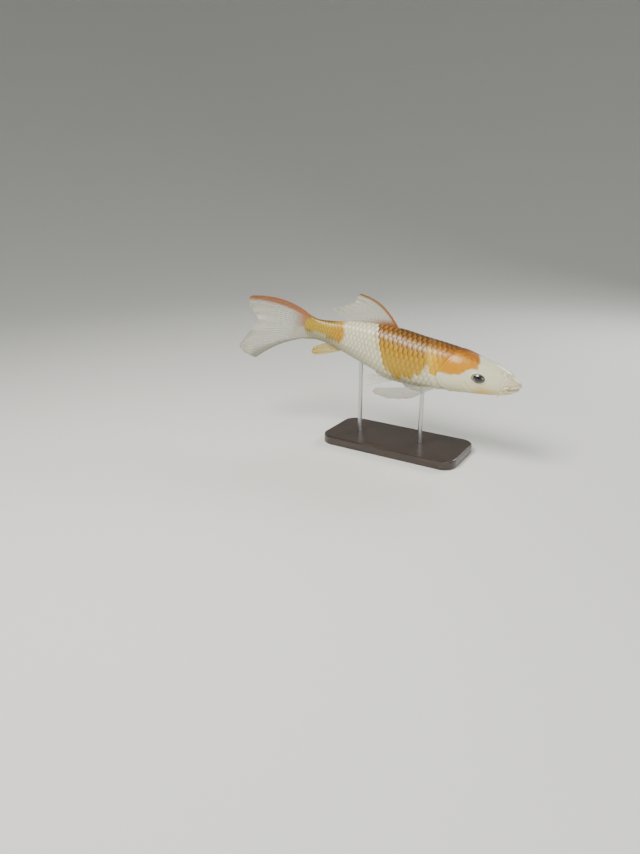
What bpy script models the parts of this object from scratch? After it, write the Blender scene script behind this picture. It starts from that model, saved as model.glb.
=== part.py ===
"""A life-size display model of a swimming koi carp, held by two rods on a flat base. Metres, +Z up.

The fish is laid out on its own axes, with the snout tip at the origin and the tail towards -X, in shares
of its standard length. A share of 0 is the snout tip and 1 is the tail base. Its spine bends sideways
towards the tail, and the whole fish is then pitched a little nose down over the stand.
"""

import math

import bmesh
import bpy
import numpy as np
from mathutils import Matrix, Vector

# ---------------------------------------------------------------- driving dimensions
STANDARD_LENGTH = 0.300  # snout tip to tail base
PITCH = math.radians(8.0)  # nose down
BEND_START, BEND_ANGLE = 0.40, math.radians(13.0)  # sideways sweep of the stem, towards -Y
TAIL_FLICK = math.radians(7.0)  # further turn along the tail fin
GAP = 0.0003  # between pieces that meet
SNOUT_HEIGHT = 0.112  # snout tip above the ground

# Outlines of the body, in shares of the standard length: (along from the snout, value).
BACK = ((0, 0), (0.02, 0.012), (0.05, 0.032), (0.10, 0.048), (0.17, 0.061), (0.25, 0.076), (0.34, 0.080),
        (0.45, 0.083), (0.53, 0.087), (0.62, 0.085), (0.70, 0.077), (0.78, 0.065), (0.86, 0.050),
        (0.92, 0.045), (1.0, 0.066), (1.1, 0.07))
BELLY = ((0, 0), (0.02, -0.043), (0.05, -0.059), (0.10, -0.074), (0.17, -0.088), (0.25, -0.104),
         (0.34, -0.121), (0.45, -0.138), (0.53, -0.143), (0.62, -0.124), (0.70, -0.104), (0.78, -0.082),
         (0.86, -0.059), (0.92, -0.053), (1.0, -0.064), (1.1, -0.07))
HALF_WIDTH = ((0, 0), (0.02, 0.026), (0.05, 0.038), (0.10, 0.050), (0.17, 0.063), (0.25, 0.073),
              (0.34, 0.078), (0.45, 0.080), (0.56, 0.075), (0.67, 0.061), (0.78, 0.043), (0.88, 0.029),
              (1.0, 0.009), (1.1, 0.006))
WIDEST = ((0, 0.50), (0.15, 0.44), (0.35, 0.48), (0.8, 0.52), (1.1, 0.50))  # share of the height
BOXINESS = ((0, 0.94), (0.15, 0.88), (0.40, 0.93), (1.1, 0.97))  # exponent of the sections
BODY_AROUND, BODY_ALONG = 36, 42

HEAD_BLOCK = (0.06, -0.02, 0.25, 0.17)  # centre along and up, half length and half height of its arc
GILL_BLOCK = (0.268, -0.028, 0.070, 0.066)
GILL_DEPTH = 0.052  # the cover is what lies further than this from the middle
EYE_PLACE, EYE_RADIUS, EYE_SINK = (0.160, -0.009), 0.0092, 0.0064
EYE_FORM = (1.22, 1.0, 0.88)  # the eyeball is longer than it is high
MOUTH_FRONT, MOUTH_CORNER = (-0.004, -0.017), (0.047, -0.034)
JAW_REAR = 0.085
STEM_START = 0.79

# Median fins: roots as (from, to) shares; ray tips as (share along the root, along, up); the slope of the
# rays where they leave the root, as (share along the root, slope); and how long they hold to it.
DORSAL_ROOT = (0.552, 0.79)
DORSAL_TIPS = ((0, 0.750, 0.193), (0.05, 0.761, 0.185), (0.12, 0.765, 0.170), (0.30, 0.776, 0.150),
               (0.60, 0.815, 0.126), (1, 0.880, 0.097))
DORSAL_RISE, DORSAL_HOLD = ((0, 1.45), (0.15, 1.2), (1, 0.6)), 0.56
ANAL_ROOT = (0.795, 0.862)
ANAL_TIPS = ((0, 0.925, -0.123), (0.35, 0.942, -0.114), (1, 0.935, -0.090))
ANAL_RISE, ANAL_HOLD = ((0, -0.55), (1, -0.3)), 0.5
TAIL_ROOT_END = 0.985
TAIL_TIPS = ((0, 1.250, 0.0905), (0.05, 1.265, 0.076), (0.12, 1.261, 0.052), (0.25, 1.247, 0.024),
             (0.40, 1.228, 0.002), (0.50, 1.210, -0.018), (0.60, 1.232, -0.050), (0.72, 1.262, -0.100),
             (0.86, 1.292, -0.154), (0.94, 1.258, -0.184), (1, 1.208, -0.198))
TAIL_RISE, TAIL_HOLD = ((0, 0.66), (0.5, 0.0), (1, -0.25)), 0.5

# Paired fins: root place as (along, share of the section round from the back), ray length and
# directions as (back, out, up) of the leading and the trailing ray.
PECTORAL = {"root": ((0.300, 0.815), (0.330, 0.880)), "length": 0.282,
            "lead": (0.90, 0.38, -0.20), "trail": (0.72, 0.24, -0.64),
            "reach": ((0, 0.96), (0.2, 0.98), (0.5, 0.84), (0.75, 0.63), (1, 0.38))}
PELVIC = {"root": ((0.515, 0.900), (0.550, 0.930)), "length": 0.135,
          "lead": (0.78, 0.50, -0.34), "trail": (0.97, 0.12, -0.12),
          "reach": ((0, 0.90), (0.22, 1), (0.55, 0.88), (1, 0.60))}
FIN_ROOT, TAIL_ROOT_THICK, FIN_EDGE = 0.0022, 0.0040, 0.0007  # thickness at the roots and at the margin

BARBEL_REAR = {"from": (0.056, 0.585), "length": 0.045, "thick": 0.0011}
BARBEL_FRONT = {"from": (0.036, 0.470), "length": 0.023, "thick": 0.0008}

BASE_SIZE, BASE_CORNER, BASE_EDGE = (0.190, 0.088, 0.012), 0.018, 0.0015
ROD_RADIUS, ROD_SINK, SOCKET_DEPTH = 0.0028, 0.006, 0.009
ROD_PLACES = {"stand_rod_front": 0.40, "stand_rod_rear": 0.70}
BASE_MIDDLE = 0.53  # share of the fish over the middle of the base

COLOURS = {
    "skin_white": (0.72, 0.70, 0.50), "skin_gold": (0.62, 0.36, 0.07), "fin_clear": (0.62, 0.61, 0.47),
    "fin_gold": (0.55, 0.33, 0.12), "eye": (0.05, 0.05, 0.04), "base_wood": (0.040, 0.028, 0.022),
    "rod_steel": (0.60, 0.60, 0.60),
}


# ---------------------------------------------------------------- curves and sections
def smooth_line(points):
    """A curve through (place, value) points that never overshoots them: monotone cubic pieces."""
    xs, ys = np.array(points, float).T
    steps, rises = np.diff(xs), np.diff(ys)
    slopes = rises / steps
    tangents = np.concatenate([slopes[:1], np.zeros(len(slopes) - 1), slopes[-1:]])
    for i in range(1, len(slopes)):
        if slopes[i - 1] * slopes[i] > 0:
            weight_a, weight_b = 2 * steps[i] + steps[i - 1], steps[i] + 2 * steps[i - 1]
            tangents[i] = (weight_a + weight_b) / (weight_a / slopes[i - 1] + weight_b / slopes[i])

    def value(x):
        x = min(max(x, xs[0]), xs[-1])
        i = min(int(np.searchsorted(xs, x, side="right")) - 1, len(steps) - 1)
        t = (x - xs[i]) / steps[i]
        ends = ys[i] * (1 + 2 * t) * (1 - t) ** 2 + ys[i + 1] * t * t * (3 - 2 * t)
        return ends + steps[i] * (tangents[i] * t * (1 - t) ** 2 - tangents[i + 1] * t * t * (1 - t))

    return value


def rounded_line(points):
    """As smooth_line, by the root of the place, so that the outline starts round at the snout."""
    line = smooth_line([(math.sqrt(x), y) for x, y in points])
    return lambda x: line(math.sqrt(max(x, 0)))


back_line, belly_line, width_line = (rounded_line(p) for p in (BACK, BELLY, HALF_WIDTH))
widest_line, boxy_line = smooth_line(WIDEST), smooth_line(BOXINESS)


def heading(share):
    """How far the tailward direction is turned towards -Y."""
    t = min(max((share - BEND_START) / (1 - BEND_START), 0), 1)
    return BEND_ANGLE * t * t * (3 - 2 * t) + TAIL_FLICK * max(share - 1, 0) / 0.25


SPINE_STEP = 0.005
SPINE = [Vector((0, 0, 0))]
for _step in range(int(1.5 / SPINE_STEP)):
    _turn = heading((_step + 0.5) * SPINE_STEP)
    SPINE.append(SPINE[-1] + Vector((-math.cos(_turn), -math.sin(_turn), 0)) * SPINE_STEP * STANDARD_LENGTH)


def on_spine(share, up=0.0, out=0.0):
    """The point at this share of the length, this high and this far to the left, the last two in metres."""
    place = min(max(share, 0) / SPINE_STEP, len(SPINE) - 1.001)
    i = int(place)
    turn = heading(share)
    middle = SPINE[i].lerp(SPINE[i + 1], place - i)
    return middle + Vector((-math.sin(turn), math.cos(turn), 0)) * out + Vector((0, 0, up))


def power(x, exponent):
    return math.copysign(abs(x) ** exponent, x)


def on_section(share, angle, swell=0.0):
    """The body's surface: angle 0 is the middle of the back, pi / 2 the left flank and pi the belly."""
    top, low = back_line(share) * STANDARD_LENGTH, belly_line(share) * STANDARD_LENGTH
    middle = low + widest_line(share) * (top - low)
    across, upward = power(math.sin(angle), boxy_line(share)), power(math.cos(angle), boxy_line(share))
    reach = (top - middle if upward > 0 else middle - low) + swell
    return on_spine(share, middle + upward * reach, across * (width_line(share) * STANDARD_LENGTH + swell))


# ---------------------------------------------------------------- objects
scene_collection = bpy.context.scene.collection
for old in list(bpy.data.objects):
    bpy.data.objects.remove(old)
koi = bpy.data.collections.new("koi_carp")
cutters = bpy.data.collections.new("cutters")
scene_collection.children.link(koi)
scene_collection.children.link(cutters)

display = bpy.data.objects.new("display", None)  # carries the fish and the stand
fish = bpy.data.objects.new("fish", None)  # pitches the fish over the stand
for empty in (display, fish):
    koi.objects.link(empty)
fish.parent = display
fish.location = (0, 0, SNOUT_HEIGHT)
fish.rotation_euler = (0, PITCH, 0)


def finish(name, roughness, metallic=0.0):
    """A plain material in one of the COLOURS."""
    material = bpy.data.materials.new(name)
    material.use_nodes = True
    shader = material.node_tree.nodes["Principled BSDF"]
    shader.inputs["Base Color"].default_value = (*COLOURS[name], 1)
    shader.inputs["Roughness"].default_value = roughness
    shader.inputs["Metallic"].default_value = metallic
    return material


FINISHES = {name: finish(name, 0.4) for name in ("skin_white", "skin_gold", "fin_clear", "fin_gold")}
FINISHES["eye"] = finish("eye", 0.12)
FINISHES["base_wood"] = finish("base_wood", 0.35)
FINISHES["rod_steel"] = finish("rod_steel", 0.3, 1.0)


def add(name, mesh, parent, slot=None, smooth=True):
    """A node of the model, or a cutter where it has no slot."""
    piece = bpy.data.objects.new(name, mesh)
    (koi if slot else cutters).objects.link(piece)
    piece.parent = parent
    if slot:
        mesh.materials.append(FINISHES[slot])
        if smooth:
            mesh.shade_smooth()
            mesh.set_sharp_from_angle(angle=math.radians(40))
    else:
        piece.hide_render = True
        piece.display_type = "WIRE"
    return piece


def mesh_from(bm, name):
    bmesh.ops.recalc_face_normals(bm, faces=bm.faces)
    mesh = bpy.data.meshes.new(name)
    bm.to_mesh(mesh)
    bm.free()
    return mesh


def cut(piece, cutter, operation="DIFFERENCE"):
    boolean = piece.modifiers.new(cutter.name, "BOOLEAN")
    boolean.object, boolean.operation = cutter, operation


# ---------------------------------------------------------------- the body and its divisions
def body_mesh(swell, end):
    """The whole body as a ball drawn out over the sections, cut off flat at the tail base."""
    bm = bmesh.new()
    bmesh.ops.create_uvsphere(bm, u_segments=BODY_AROUND, v_segments=BODY_ALONG, radius=1)
    last = 1.06
    for vert in bm.verts:
        x, y, z = vert.co
        share = last * math.acos(max(-1, min(1, z))) / math.pi
        share = share * (0.72 + 0.28 * share / last)
        angle = math.atan2(y, x)
        vert.co = on_section(share, angle, swell)
        if share < 1e-6:
            vert.co.x += swell
    flat = on_spine(end)
    turn = heading(end)
    split = bmesh.ops.bisect_plane(bm, geom=bm.verts[:] + bm.edges[:] + bm.faces[:], plane_co=flat,
                                   plane_no=(-math.cos(turn), -math.sin(turn), 0), clear_outer=True)
    rim = [e for e in split["geom_cut"] if isinstance(e, bmesh.types.BMEdge)]
    bmesh.ops.contextual_create(bm, geom=rim)
    return mesh_from(bm, "body")


def block(name, share, up, half_length, half_height, swell=0.0):
    """A cutter across the fish with an elliptical outline in the side view."""
    bm = bmesh.new()
    turned = Matrix.Rotation(math.pi / 2, 4, "X")
    bmesh.ops.create_cone(bm, cap_ends=True, segments=48, radius1=1, radius2=1, depth=1, matrix=turned)
    scale = STANDARD_LENGTH
    bmesh.ops.scale(bm, verts=bm.verts, vec=(half_length * scale + swell, scale * 0.5,
                                             half_height * scale + swell))
    bmesh.ops.translate(bm, verts=bm.verts, vec=(-share * scale, 0, up * scale))
    return add(name, mesh_from(bm, name), fish)


def slab(name, side, depth):
    """A cutter that holds what lies beyond this depth on one side."""
    bm = bmesh.new()
    bmesh.ops.create_cube(bm, size=STANDARD_LENGTH)
    middle = (-STANDARD_LENGTH * 0.3, side * (STANDARD_LENGTH / 2 + depth), 0)
    bmesh.ops.translate(bm, verts=bm.verts, vec=middle)
    return add(name, mesh_from(bm, name), fish)


def jaw_block(name, swell):
    """A cutter under the mouth line, as far back as the chin."""
    length = STANDARD_LENGTH
    front, corner = (Vector((-a * length, 0, z * length)) for a, z in (MOUTH_FRONT, MOUTH_CORNER))
    along = (corner - front).normalized()
    down = Vector((along.z, 0, -along.x)) if along.x > 0 else Vector((-along.z, 0, along.x))
    reach = (JAW_REAR - MOUTH_FRONT[0]) * length + swell
    size = Vector((reach + 0.01, length * 0.3, 0.03))
    bm = bmesh.new()
    bmesh.ops.create_cube(bm, size=1)
    bmesh.ops.scale(bm, verts=bm.verts, vec=size)
    bmesh.ops.translate(bm, verts=bm.verts, vec=(size.x / 2 - 0.01, 0, -size.z / 2 + swell))
    frame = Matrix((along, (0, 1, 0), -down)).transposed().to_4x4()
    bmesh.ops.transform(bm, matrix=Matrix.Translation(front) @ frame, verts=bm.verts)
    return add(name, mesh_from(bm, name), fish)


def stem_block(name, share):
    """A cutter that holds all behind this share of the length."""
    length = STANDARD_LENGTH
    bm = bmesh.new()
    bmesh.ops.create_cube(bm, size=length)
    bmesh.ops.translate(bm, verts=bm.verts, vec=(-length / 2, 0, 0))
    turned = Matrix.Translation(on_spine(share)) @ Matrix.Rotation(heading(share), 4, "Z")
    bmesh.ops.transform(bm, matrix=turned, verts=bm.verts)
    return add(name, mesh_from(bm, name), fish)


def eye_ball(name, side, swell=0.0, slot=None):
    """An eyeball, looking a little forward and up, or the hollow that holds it."""
    share, up = EYE_PLACE
    length = STANDARD_LENGTH
    height = up * length
    angle = math.acos(0.12)
    surface = on_section(share, angle)
    centre = Vector((-share * length, side * (surface.y - EYE_SINK), height))
    bm = bmesh.new()
    bmesh.ops.create_uvsphere(bm, u_segments=18, v_segments=10, radius=EYE_RADIUS + swell)
    bmesh.ops.rotate(bm, verts=bm.verts, matrix=Matrix.Rotation(math.pi / 2, 3, "X"))
    bmesh.ops.scale(bm, verts=bm.verts, vec=EYE_FORM)
    bmesh.ops.translate(bm, verts=bm.verts, vec=centre)
    return add(name, mesh_from(bm, name), fish, slot)


whole = body_mesh(0, TAIL_ROOT_END)
clearance = add("body_clearance", body_mesh(GAP, TAIL_ROOT_END + GAP / STANDARD_LENGTH), fish)
head_block, behind_head = block("head_block", *HEAD_BLOCK), block("behind_head", *HEAD_BLOCK, GAP)
gill_block, round_gill = block("gill_block", *GILL_BLOCK), block("round_gill", *GILL_BLOCK, GAP)
jaw_inside, jaw_outside = jaw_block("jaw_inside", 0), jaw_block("jaw_outside", GAP)
stem_inside = stem_block("stem_inside", STEM_START + GAP / STANDARD_LENGTH)
stem_outside = stem_block("stem_outside", STEM_START)


def body_piece(name, slot):
    return add(name, whole.copy(), fish, slot)


head = body_piece("head", "skin_white")
cut(head, head_block, "INTERSECT")
cut(head, jaw_outside)
jaw = body_piece("lower_jaw", "skin_white")
cut(jaw, jaw_inside, "INTERSECT")
trunk = body_piece("trunk", "skin_gold")
cut(trunk, behind_head)
cut(trunk, stem_outside)
stem = body_piece("tail_stem", "skin_gold")
cut(stem, stem_inside, "INTERSECT")

for side, label in ((1, "left"), (-1, "right")):
    depth = GILL_DEPTH * STANDARD_LENGTH
    socket = eye_ball(f"socket_{label}", side, GAP)
    eye_ball(f"eye_{label}", side, slot="eye")
    cut(head, socket)
    cover = body_piece(f"gill_cover_{label}", "skin_white")
    cut(cover, head_block, "INTERSECT")
    cut(cover, gill_block, "INTERSECT")
    cut(cover, slab(f"beside_{label}", side, depth), "INTERSECT")
    hollow = add(f"gill_hollow_{label}", round_gill.data.copy(), fish)
    cut(hollow, slab(f"beyond_{label}", side, depth - GAP), "INTERSECT")
    cut(head, hollow)


# ---------------------------------------------------------------- fins
def plate(name, across, along, place, thickness, slot, sharp=False):
    """A closed thin plate over a grid: place(u, v) is its middle surface, thickness(u, v) its thickness."""
    bm = bmesh.new()
    bmesh.ops.create_grid(bm, x_segments=across, y_segments=along, size=1)
    both = bmesh.ops.extrude_face_region(bm, geom=bm.faces[:], use_keep_orig=True)
    other = {v for v in both["geom"] if isinstance(v, bmesh.types.BMVert)}
    reach = 1e-3
    for vert in bm.verts:
        u, v = (vert.co.x + 1) / 2, (vert.co.y + 1) / 2
        low_u, low_v = min(u, 1 - reach), min(v, 1 - reach)
        step_u = place(low_u + reach, v) - place(low_u, v)
        step_v = place(u, low_v + reach) - place(u, low_v)
        normal = step_u.cross(step_v).normalized()
        vert.co = place(u, v) + normal * thickness(u, v) * (0.5 if vert in other else -0.5)
    return add(name, mesh_from(bm, name), fish, slot)


def tapered(root=FIN_ROOT, edge=FIN_EDGE):
    """Thickest at the root and at the first ray, thin at the margin."""
    return lambda u, v: edge + (root - edge) * (1 - v) ** 1.6 * (1 - 0.4 * u)


def median_fin(name, across, along, root, tips, rise, hold, thickness, slot, sweep=0.0):
    """A fin in the plane of the spine, from the front or top ray at u = 0 to the last at u = 1."""
    along_line, up_line = (smooth_line([(t[0], t[i]) for t in tips]) for i in (1, 2))
    rise_line = smooth_line(rise)

    def place(u, v):
        start, tip = Vector(root(u)), Vector((along_line(u), up_line(u)))
        middle = start + Vector((1, rise_line(u))).normalized() * (tip - start).length * hold
        flat = start.lerp(middle, v).lerp(middle.lerp(tip, v), v)
        return on_spine(flat.x, flat.y * STANDARD_LENGTH, sweep * math.sin(2 * math.pi * u) * v * v)

    return plate(name, across, along, place, thickness, slot)


SUNK = 0.006  # fins start this far inside the body before they are cut back to it


def dorsal_root(u):
    share = DORSAL_ROOT[0] + u * (DORSAL_ROOT[1] - DORSAL_ROOT[0])
    return share, back_line(share) - SUNK


def anal_root(u):
    share = ANAL_ROOT[0] + u * (ANAL_ROOT[1] - ANAL_ROOT[0])
    return share, belly_line(share) + SUNK


def tail_root(u):
    """Down the tail base, from the upper corner at 0 to the lower one at 1."""
    top, low = back_line(TAIL_ROOT_END) - 0.004, belly_line(TAIL_ROOT_END) + 0.004
    return TAIL_ROOT_END + GAP / STANDARD_LENGTH, top + u * (low - top)


dorsal = median_fin("dorsal_fin", 13, 6, dorsal_root, DORSAL_TIPS, DORSAL_RISE, DORSAL_HOLD, tapered(),
                    "fin_gold", 0.0015)
anal = median_fin("anal_fin", 6, 5, anal_root, ANAL_TIPS, ANAL_RISE, ANAL_HOLD, tapered(), "fin_gold")
median_fin("caudal_fin", 18, 9, tail_root, TAIL_TIPS, TAIL_RISE, TAIL_HOLD,
           lambda u, v: FIN_EDGE + (TAIL_ROOT_THICK - FIN_EDGE) * (1 - v) ** 4 + 0.0006 * (1 - v),
           "fin_clear", 0.004)
for fin in (dorsal, anal):
    cut(fin, clearance)


def paired_fin(name, spec, side, across, along):
    """A fan of rays from a short root on the flank, cambered, with its tip swept back."""
    length = spec["length"] * STANDARD_LENGTH
    (lead_at, lead_round), (trail_at, trail_round) = spec["root"]
    reach = smooth_line(spec["reach"])

    def ray(direction):
        aft, out, up = direction
        return Vector((-aft, side * out, up)).normalized()

    lead, trail = ray(spec["lead"]), ray(spec["trail"])

    def place(u, v):
        share = lead_at + u * (trail_at - lead_at)
        around = math.pi * (lead_round + u * (trail_round - lead_round))
        start = on_section(share, side * around, -0.003)
        along_ray = lead.slerp(trail, u) * reach(u) * length * v
        droop = Vector((-0.25, -0.12 * side, -0.10)) * length * 0.30 * v * v * (1 - 0.6 * u)
        return start + along_ray + droop + Vector((0, 0, 0.05 * length * math.sin(math.pi * u) * v))

    fin = plate(name, across, along, place, tapered(0.0018), "fin_clear")
    cut(fin, clearance)


def barbel(name, spec, side):
    """A feeler from the lip: a tapering bent tube, closed at both ends."""
    share, around = spec["from"]
    start = on_section(share, side * math.pi * around, -0.001)
    length = spec["length"] * STANDARD_LENGTH
    path = bpy.data.curves.new(name, "CURVE")
    path.dimensions = "3D"
    path.bevel_depth, path.bevel_resolution, path.use_fill_caps = spec["thick"], 2, True
    spline = path.splines.new("POLY")
    steps = 7
    spline.points.add(steps - 1)
    for i, point in enumerate(spline.points):
        t = i / (steps - 1)
        bow = Vector((-0.35 * t * t, side * (1.20 * t - 0.75 * t * t), -0.22 * t - 0.52 * t * t))
        point.co = (*(start + bow * length), 1)
        point.radius = 1 - 0.45 * t
    tube = bpy.data.objects.new(name + "_path", path)
    cutters.objects.link(tube)
    evaluated = tube.evaluated_get(bpy.context.evaluated_depsgraph_get())
    mesh = bpy.data.meshes.new_from_object(evaluated)
    bpy.data.objects.remove(tube)
    bm = bmesh.new()
    bm.from_mesh(mesh)
    bmesh.ops.remove_doubles(bm, verts=bm.verts, dist=1e-5)
    mesh.materials.clear()
    feeler = add(name, mesh_from(bm, name), fish, "skin_white")
    cut(feeler, clearance)


for side, label in ((1, "left"), (-1, "right")):
    paired_fin(f"pectoral_fin_{label}", PECTORAL, side, 9, 7)
    paired_fin(f"pelvic_fin_{label}", PELVIC, side, 7, 5)
    barbel(f"barbel_rear_{label}", BARBEL_REAR, side)
    barbel(f"barbel_front_{label}", BARBEL_FRONT, side)


# ---------------------------------------------------------------- the stand
def over_ground(point):
    """A point of the fish, as it stands over the base."""
    return Matrix.Translation((0, 0, SNOUT_HEIGHT)) @ (Matrix.Rotation(PITCH, 4, "Y") @ point)


def cylinder(name, foot, low, high, radius, slot=None):
    bm = bmesh.new()
    bmesh.ops.create_cone(bm, cap_ends=True, segments=24, radius1=radius, radius2=radius, depth=high - low)
    bmesh.ops.translate(bm, verts=bm.verts, vec=(foot.x, foot.y, (low + high) / 2))
    return add(name, mesh_from(bm, name), display, slot)


def base_plate():
    """A flat slab with round corners and a fine bevel round its top and bottom."""
    long, wide, thick = BASE_SIZE
    bm = bmesh.new()
    bmesh.ops.create_cube(bm, size=1)
    bmesh.ops.scale(bm, verts=bm.verts, vec=BASE_SIZE)
    upright = [e for e in bm.edges if abs(e.verts[0].co.z - e.verts[1].co.z) > thick / 2]
    bmesh.ops.bevel(bm, geom=upright, offset=BASE_CORNER, segments=16, profile=0.5, affect="EDGES",
                    material=-1)
    rims = [e for e in bm.edges if abs(e.verts[0].co.z - e.verts[1].co.z) < thick / 2]
    bmesh.ops.bevel(bm, geom=rims, offset=BASE_EDGE, segments=2, profile=0.5, affect="EDGES", material=-1)
    middle = over_ground(on_spine(BASE_MIDDLE))
    bmesh.ops.translate(bm, verts=bm.verts, vec=(middle.x, middle.y, thick / 2))
    return add("stand_base", mesh_from(bm, "stand_base"), display, "base_wood")


base = base_plate()
for name, share in ROD_PLACES.items():
    belly = over_ground(on_spine(share, belly_line(share) * STANDARD_LENGTH))
    floor_of_socket = BASE_SIZE[2] - ROD_SINK
    cylinder(name, belly, floor_of_socket + GAP, belly.z + SOCKET_DEPTH - GAP, ROD_RADIUS, "rod_steel")
    cut(base, cylinder(f"{name}_foot", belly, floor_of_socket, BASE_SIZE[2] + 0.01, ROD_RADIUS + GAP))
    cut(trunk, cylinder(f"{name}_socket", belly, belly.z - 0.02, belly.z + SOCKET_DEPTH, ROD_RADIUS + GAP))


# ---------------------------------------------------------------- the origin
def bounds():
    """Lowest and highest corner of the finished pieces."""
    graph = bpy.context.evaluated_depsgraph_get()
    corners = []
    for piece in koi.objects:
        if piece.type == "MESH":
            shape = piece.evaluated_get(graph)
            corners += [shape.matrix_world @ v.co for v in shape.data.vertices]
    points = np.array(corners)
    return points.min(0), points.max(0)


bpy.context.view_layer.update()
lowest, highest = bounds()
display.location = (-(lowest[0] + highest[0]) / 2, -(lowest[1] + highest[1]) / 2, -lowest[2])
bpy.context.view_layer.update()
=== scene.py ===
"""The looks of a life-size koi carp display model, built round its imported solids.

The fish is shaped on its own axes: shares of its standard length from the snout, and metres out and up.
"""

import math

import bmesh
import bpy
import numpy as np
from mathutils import Matrix, Vector


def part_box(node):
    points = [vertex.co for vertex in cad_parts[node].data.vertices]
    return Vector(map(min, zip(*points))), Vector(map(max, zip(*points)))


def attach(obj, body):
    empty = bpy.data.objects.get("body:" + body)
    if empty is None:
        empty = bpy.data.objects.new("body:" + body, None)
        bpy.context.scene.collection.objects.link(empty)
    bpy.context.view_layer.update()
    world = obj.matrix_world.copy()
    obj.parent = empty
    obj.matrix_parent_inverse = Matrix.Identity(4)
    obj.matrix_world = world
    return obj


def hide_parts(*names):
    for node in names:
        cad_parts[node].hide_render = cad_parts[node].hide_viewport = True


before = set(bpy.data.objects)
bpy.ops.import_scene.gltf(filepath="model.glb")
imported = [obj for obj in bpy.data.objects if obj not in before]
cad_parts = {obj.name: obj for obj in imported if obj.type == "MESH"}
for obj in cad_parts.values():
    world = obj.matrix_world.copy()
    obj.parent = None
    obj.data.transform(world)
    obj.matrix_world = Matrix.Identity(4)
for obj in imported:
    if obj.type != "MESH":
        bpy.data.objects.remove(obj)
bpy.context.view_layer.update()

# ---------------------------------------------------------------- dimensions, as in the solids
LENGTH = 0.300
PITCH = math.radians(8.0)
BEND_START, BEND_ANGLE = 0.40, math.radians(13.0)
TAIL_FLICK, TAIL_SPAN = math.radians(7.0), 0.25
STEM_THINS, STEM_END, STEM_EDGE = 0.955, 1.035, 0.15  # where the body goes over into the tail fin
BACK = ((0, 0), (0.02, 0.012), (0.05, 0.032), (0.10, 0.048), (0.17, 0.061), (0.25, 0.076), (0.34, 0.080),
        (0.45, 0.083), (0.53, 0.087), (0.62, 0.085), (0.70, 0.077), (0.78, 0.065), (0.86, 0.050),
        (0.92, 0.045), (1.0, 0.066), (1.1, 0.07))
BELLY = ((0, 0), (0.02, -0.043), (0.05, -0.059), (0.10, -0.074), (0.17, -0.088), (0.25, -0.104),
         (0.34, -0.121), (0.45, -0.138), (0.53, -0.143), (0.62, -0.124), (0.70, -0.104), (0.78, -0.082),
         (0.86, -0.059), (0.92, -0.053), (1.0, -0.064), (1.1, -0.07))
HALF_WIDTH = ((0, 0), (0.02, 0.026), (0.05, 0.038), (0.10, 0.050), (0.17, 0.063), (0.25, 0.073),
              (0.34, 0.078), (0.45, 0.080), (0.56, 0.075), (0.67, 0.061), (0.78, 0.043), (0.88, 0.029),
              (1.0, 0.009), (1.1, 0.006))
WIDEST = ((0, 0.50), (0.15, 0.44), (0.35, 0.48), (0.8, 0.52), (1.1, 0.50))
BOXINESS = ((0, 0.94), (0.15, 0.88), (0.40, 0.93), (1.1, 0.97))
HEAD_BLOCK = (0.06, -0.02, 0.25, 0.17)  # the head's ellipse on the side view: middle and half sizes
EYE_PLACE, EYE_RADIUS, EYE_SINK, EYE_FORM = (0.160, -0.009), 0.0092, 0.0064, (1.22, 1.0, 0.88)
EYE_ANGLE = math.acos(0.12)  # round the section, where the eye's depth is reckoned from
MOUTH_FRONT, MOUTH_CORNER = (-0.004, -0.017), (0.047, -0.034)
DORSAL_ROOT = (0.552, 0.79)
DORSAL_TIPS = ((0, 0.750, 0.193), (0.05, 0.761, 0.185), (0.12, 0.765, 0.170), (0.30, 0.776, 0.150),
               (0.60, 0.815, 0.126), (1, 0.880, 0.097))
DORSAL_RISE, DORSAL_HOLD = ((0, 1.45), (0.15, 1.2), (1, 0.6)), 0.56
ANAL_ROOT = (0.795, 0.862)
ANAL_TIPS = ((0, 0.925, -0.123), (0.35, 0.942, -0.114), (1, 0.935, -0.090))
ANAL_RISE, ANAL_HOLD = ((0, -0.55), (1, -0.3)), 0.5
TAIL_ROOT = 0.945
TAIL_TIPS = ((0, 1.250, 0.0905), (0.05, 1.265, 0.076), (0.12, 1.261, 0.052), (0.25, 1.247, 0.024),
             (0.40, 1.228, 0.002), (0.50, 1.210, -0.018), (0.60, 1.232, -0.050), (0.72, 1.262, -0.100),
             (0.86, 1.292, -0.154), (0.94, 1.258, -0.184), (1, 1.208, -0.198))
TAIL_RISE, TAIL_HOLD = ((0, 0.66), (0.5, 0.0), (1, -0.25)), 0.5
PECTORAL = {"root": ((0.300, 0.815), (0.330, 0.880)), "length": 0.282,
            "lead": (0.90, 0.38, -0.20), "trail": (0.72, 0.24, -0.64),
            "reach": ((0, 0.96), (0.2, 0.98), (0.5, 0.84), (0.75, 0.63), (1, 0.38))}
PELVIC = {"root": ((0.515, 0.900), (0.550, 0.930)), "length": 0.135,
          "lead": (0.78, 0.50, -0.34), "trail": (0.97, 0.12, -0.12),
          "reach": ((0, 0.90), (0.22, 1), (0.55, 0.88), (1, 0.60))}
BARBEL_REAR = {"from": (0.056, 0.585), "length": 0.045, "thick": 0.0011}
BARBEL_FRONT = {"from": (0.036, 0.470), "length": 0.023, "thick": 0.0008}

COAT_DEPTH = 0.0010  # the skin lies this far under the outline where scales cover it
SIDES = ((1, "left"), (-1, "right"))


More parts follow.
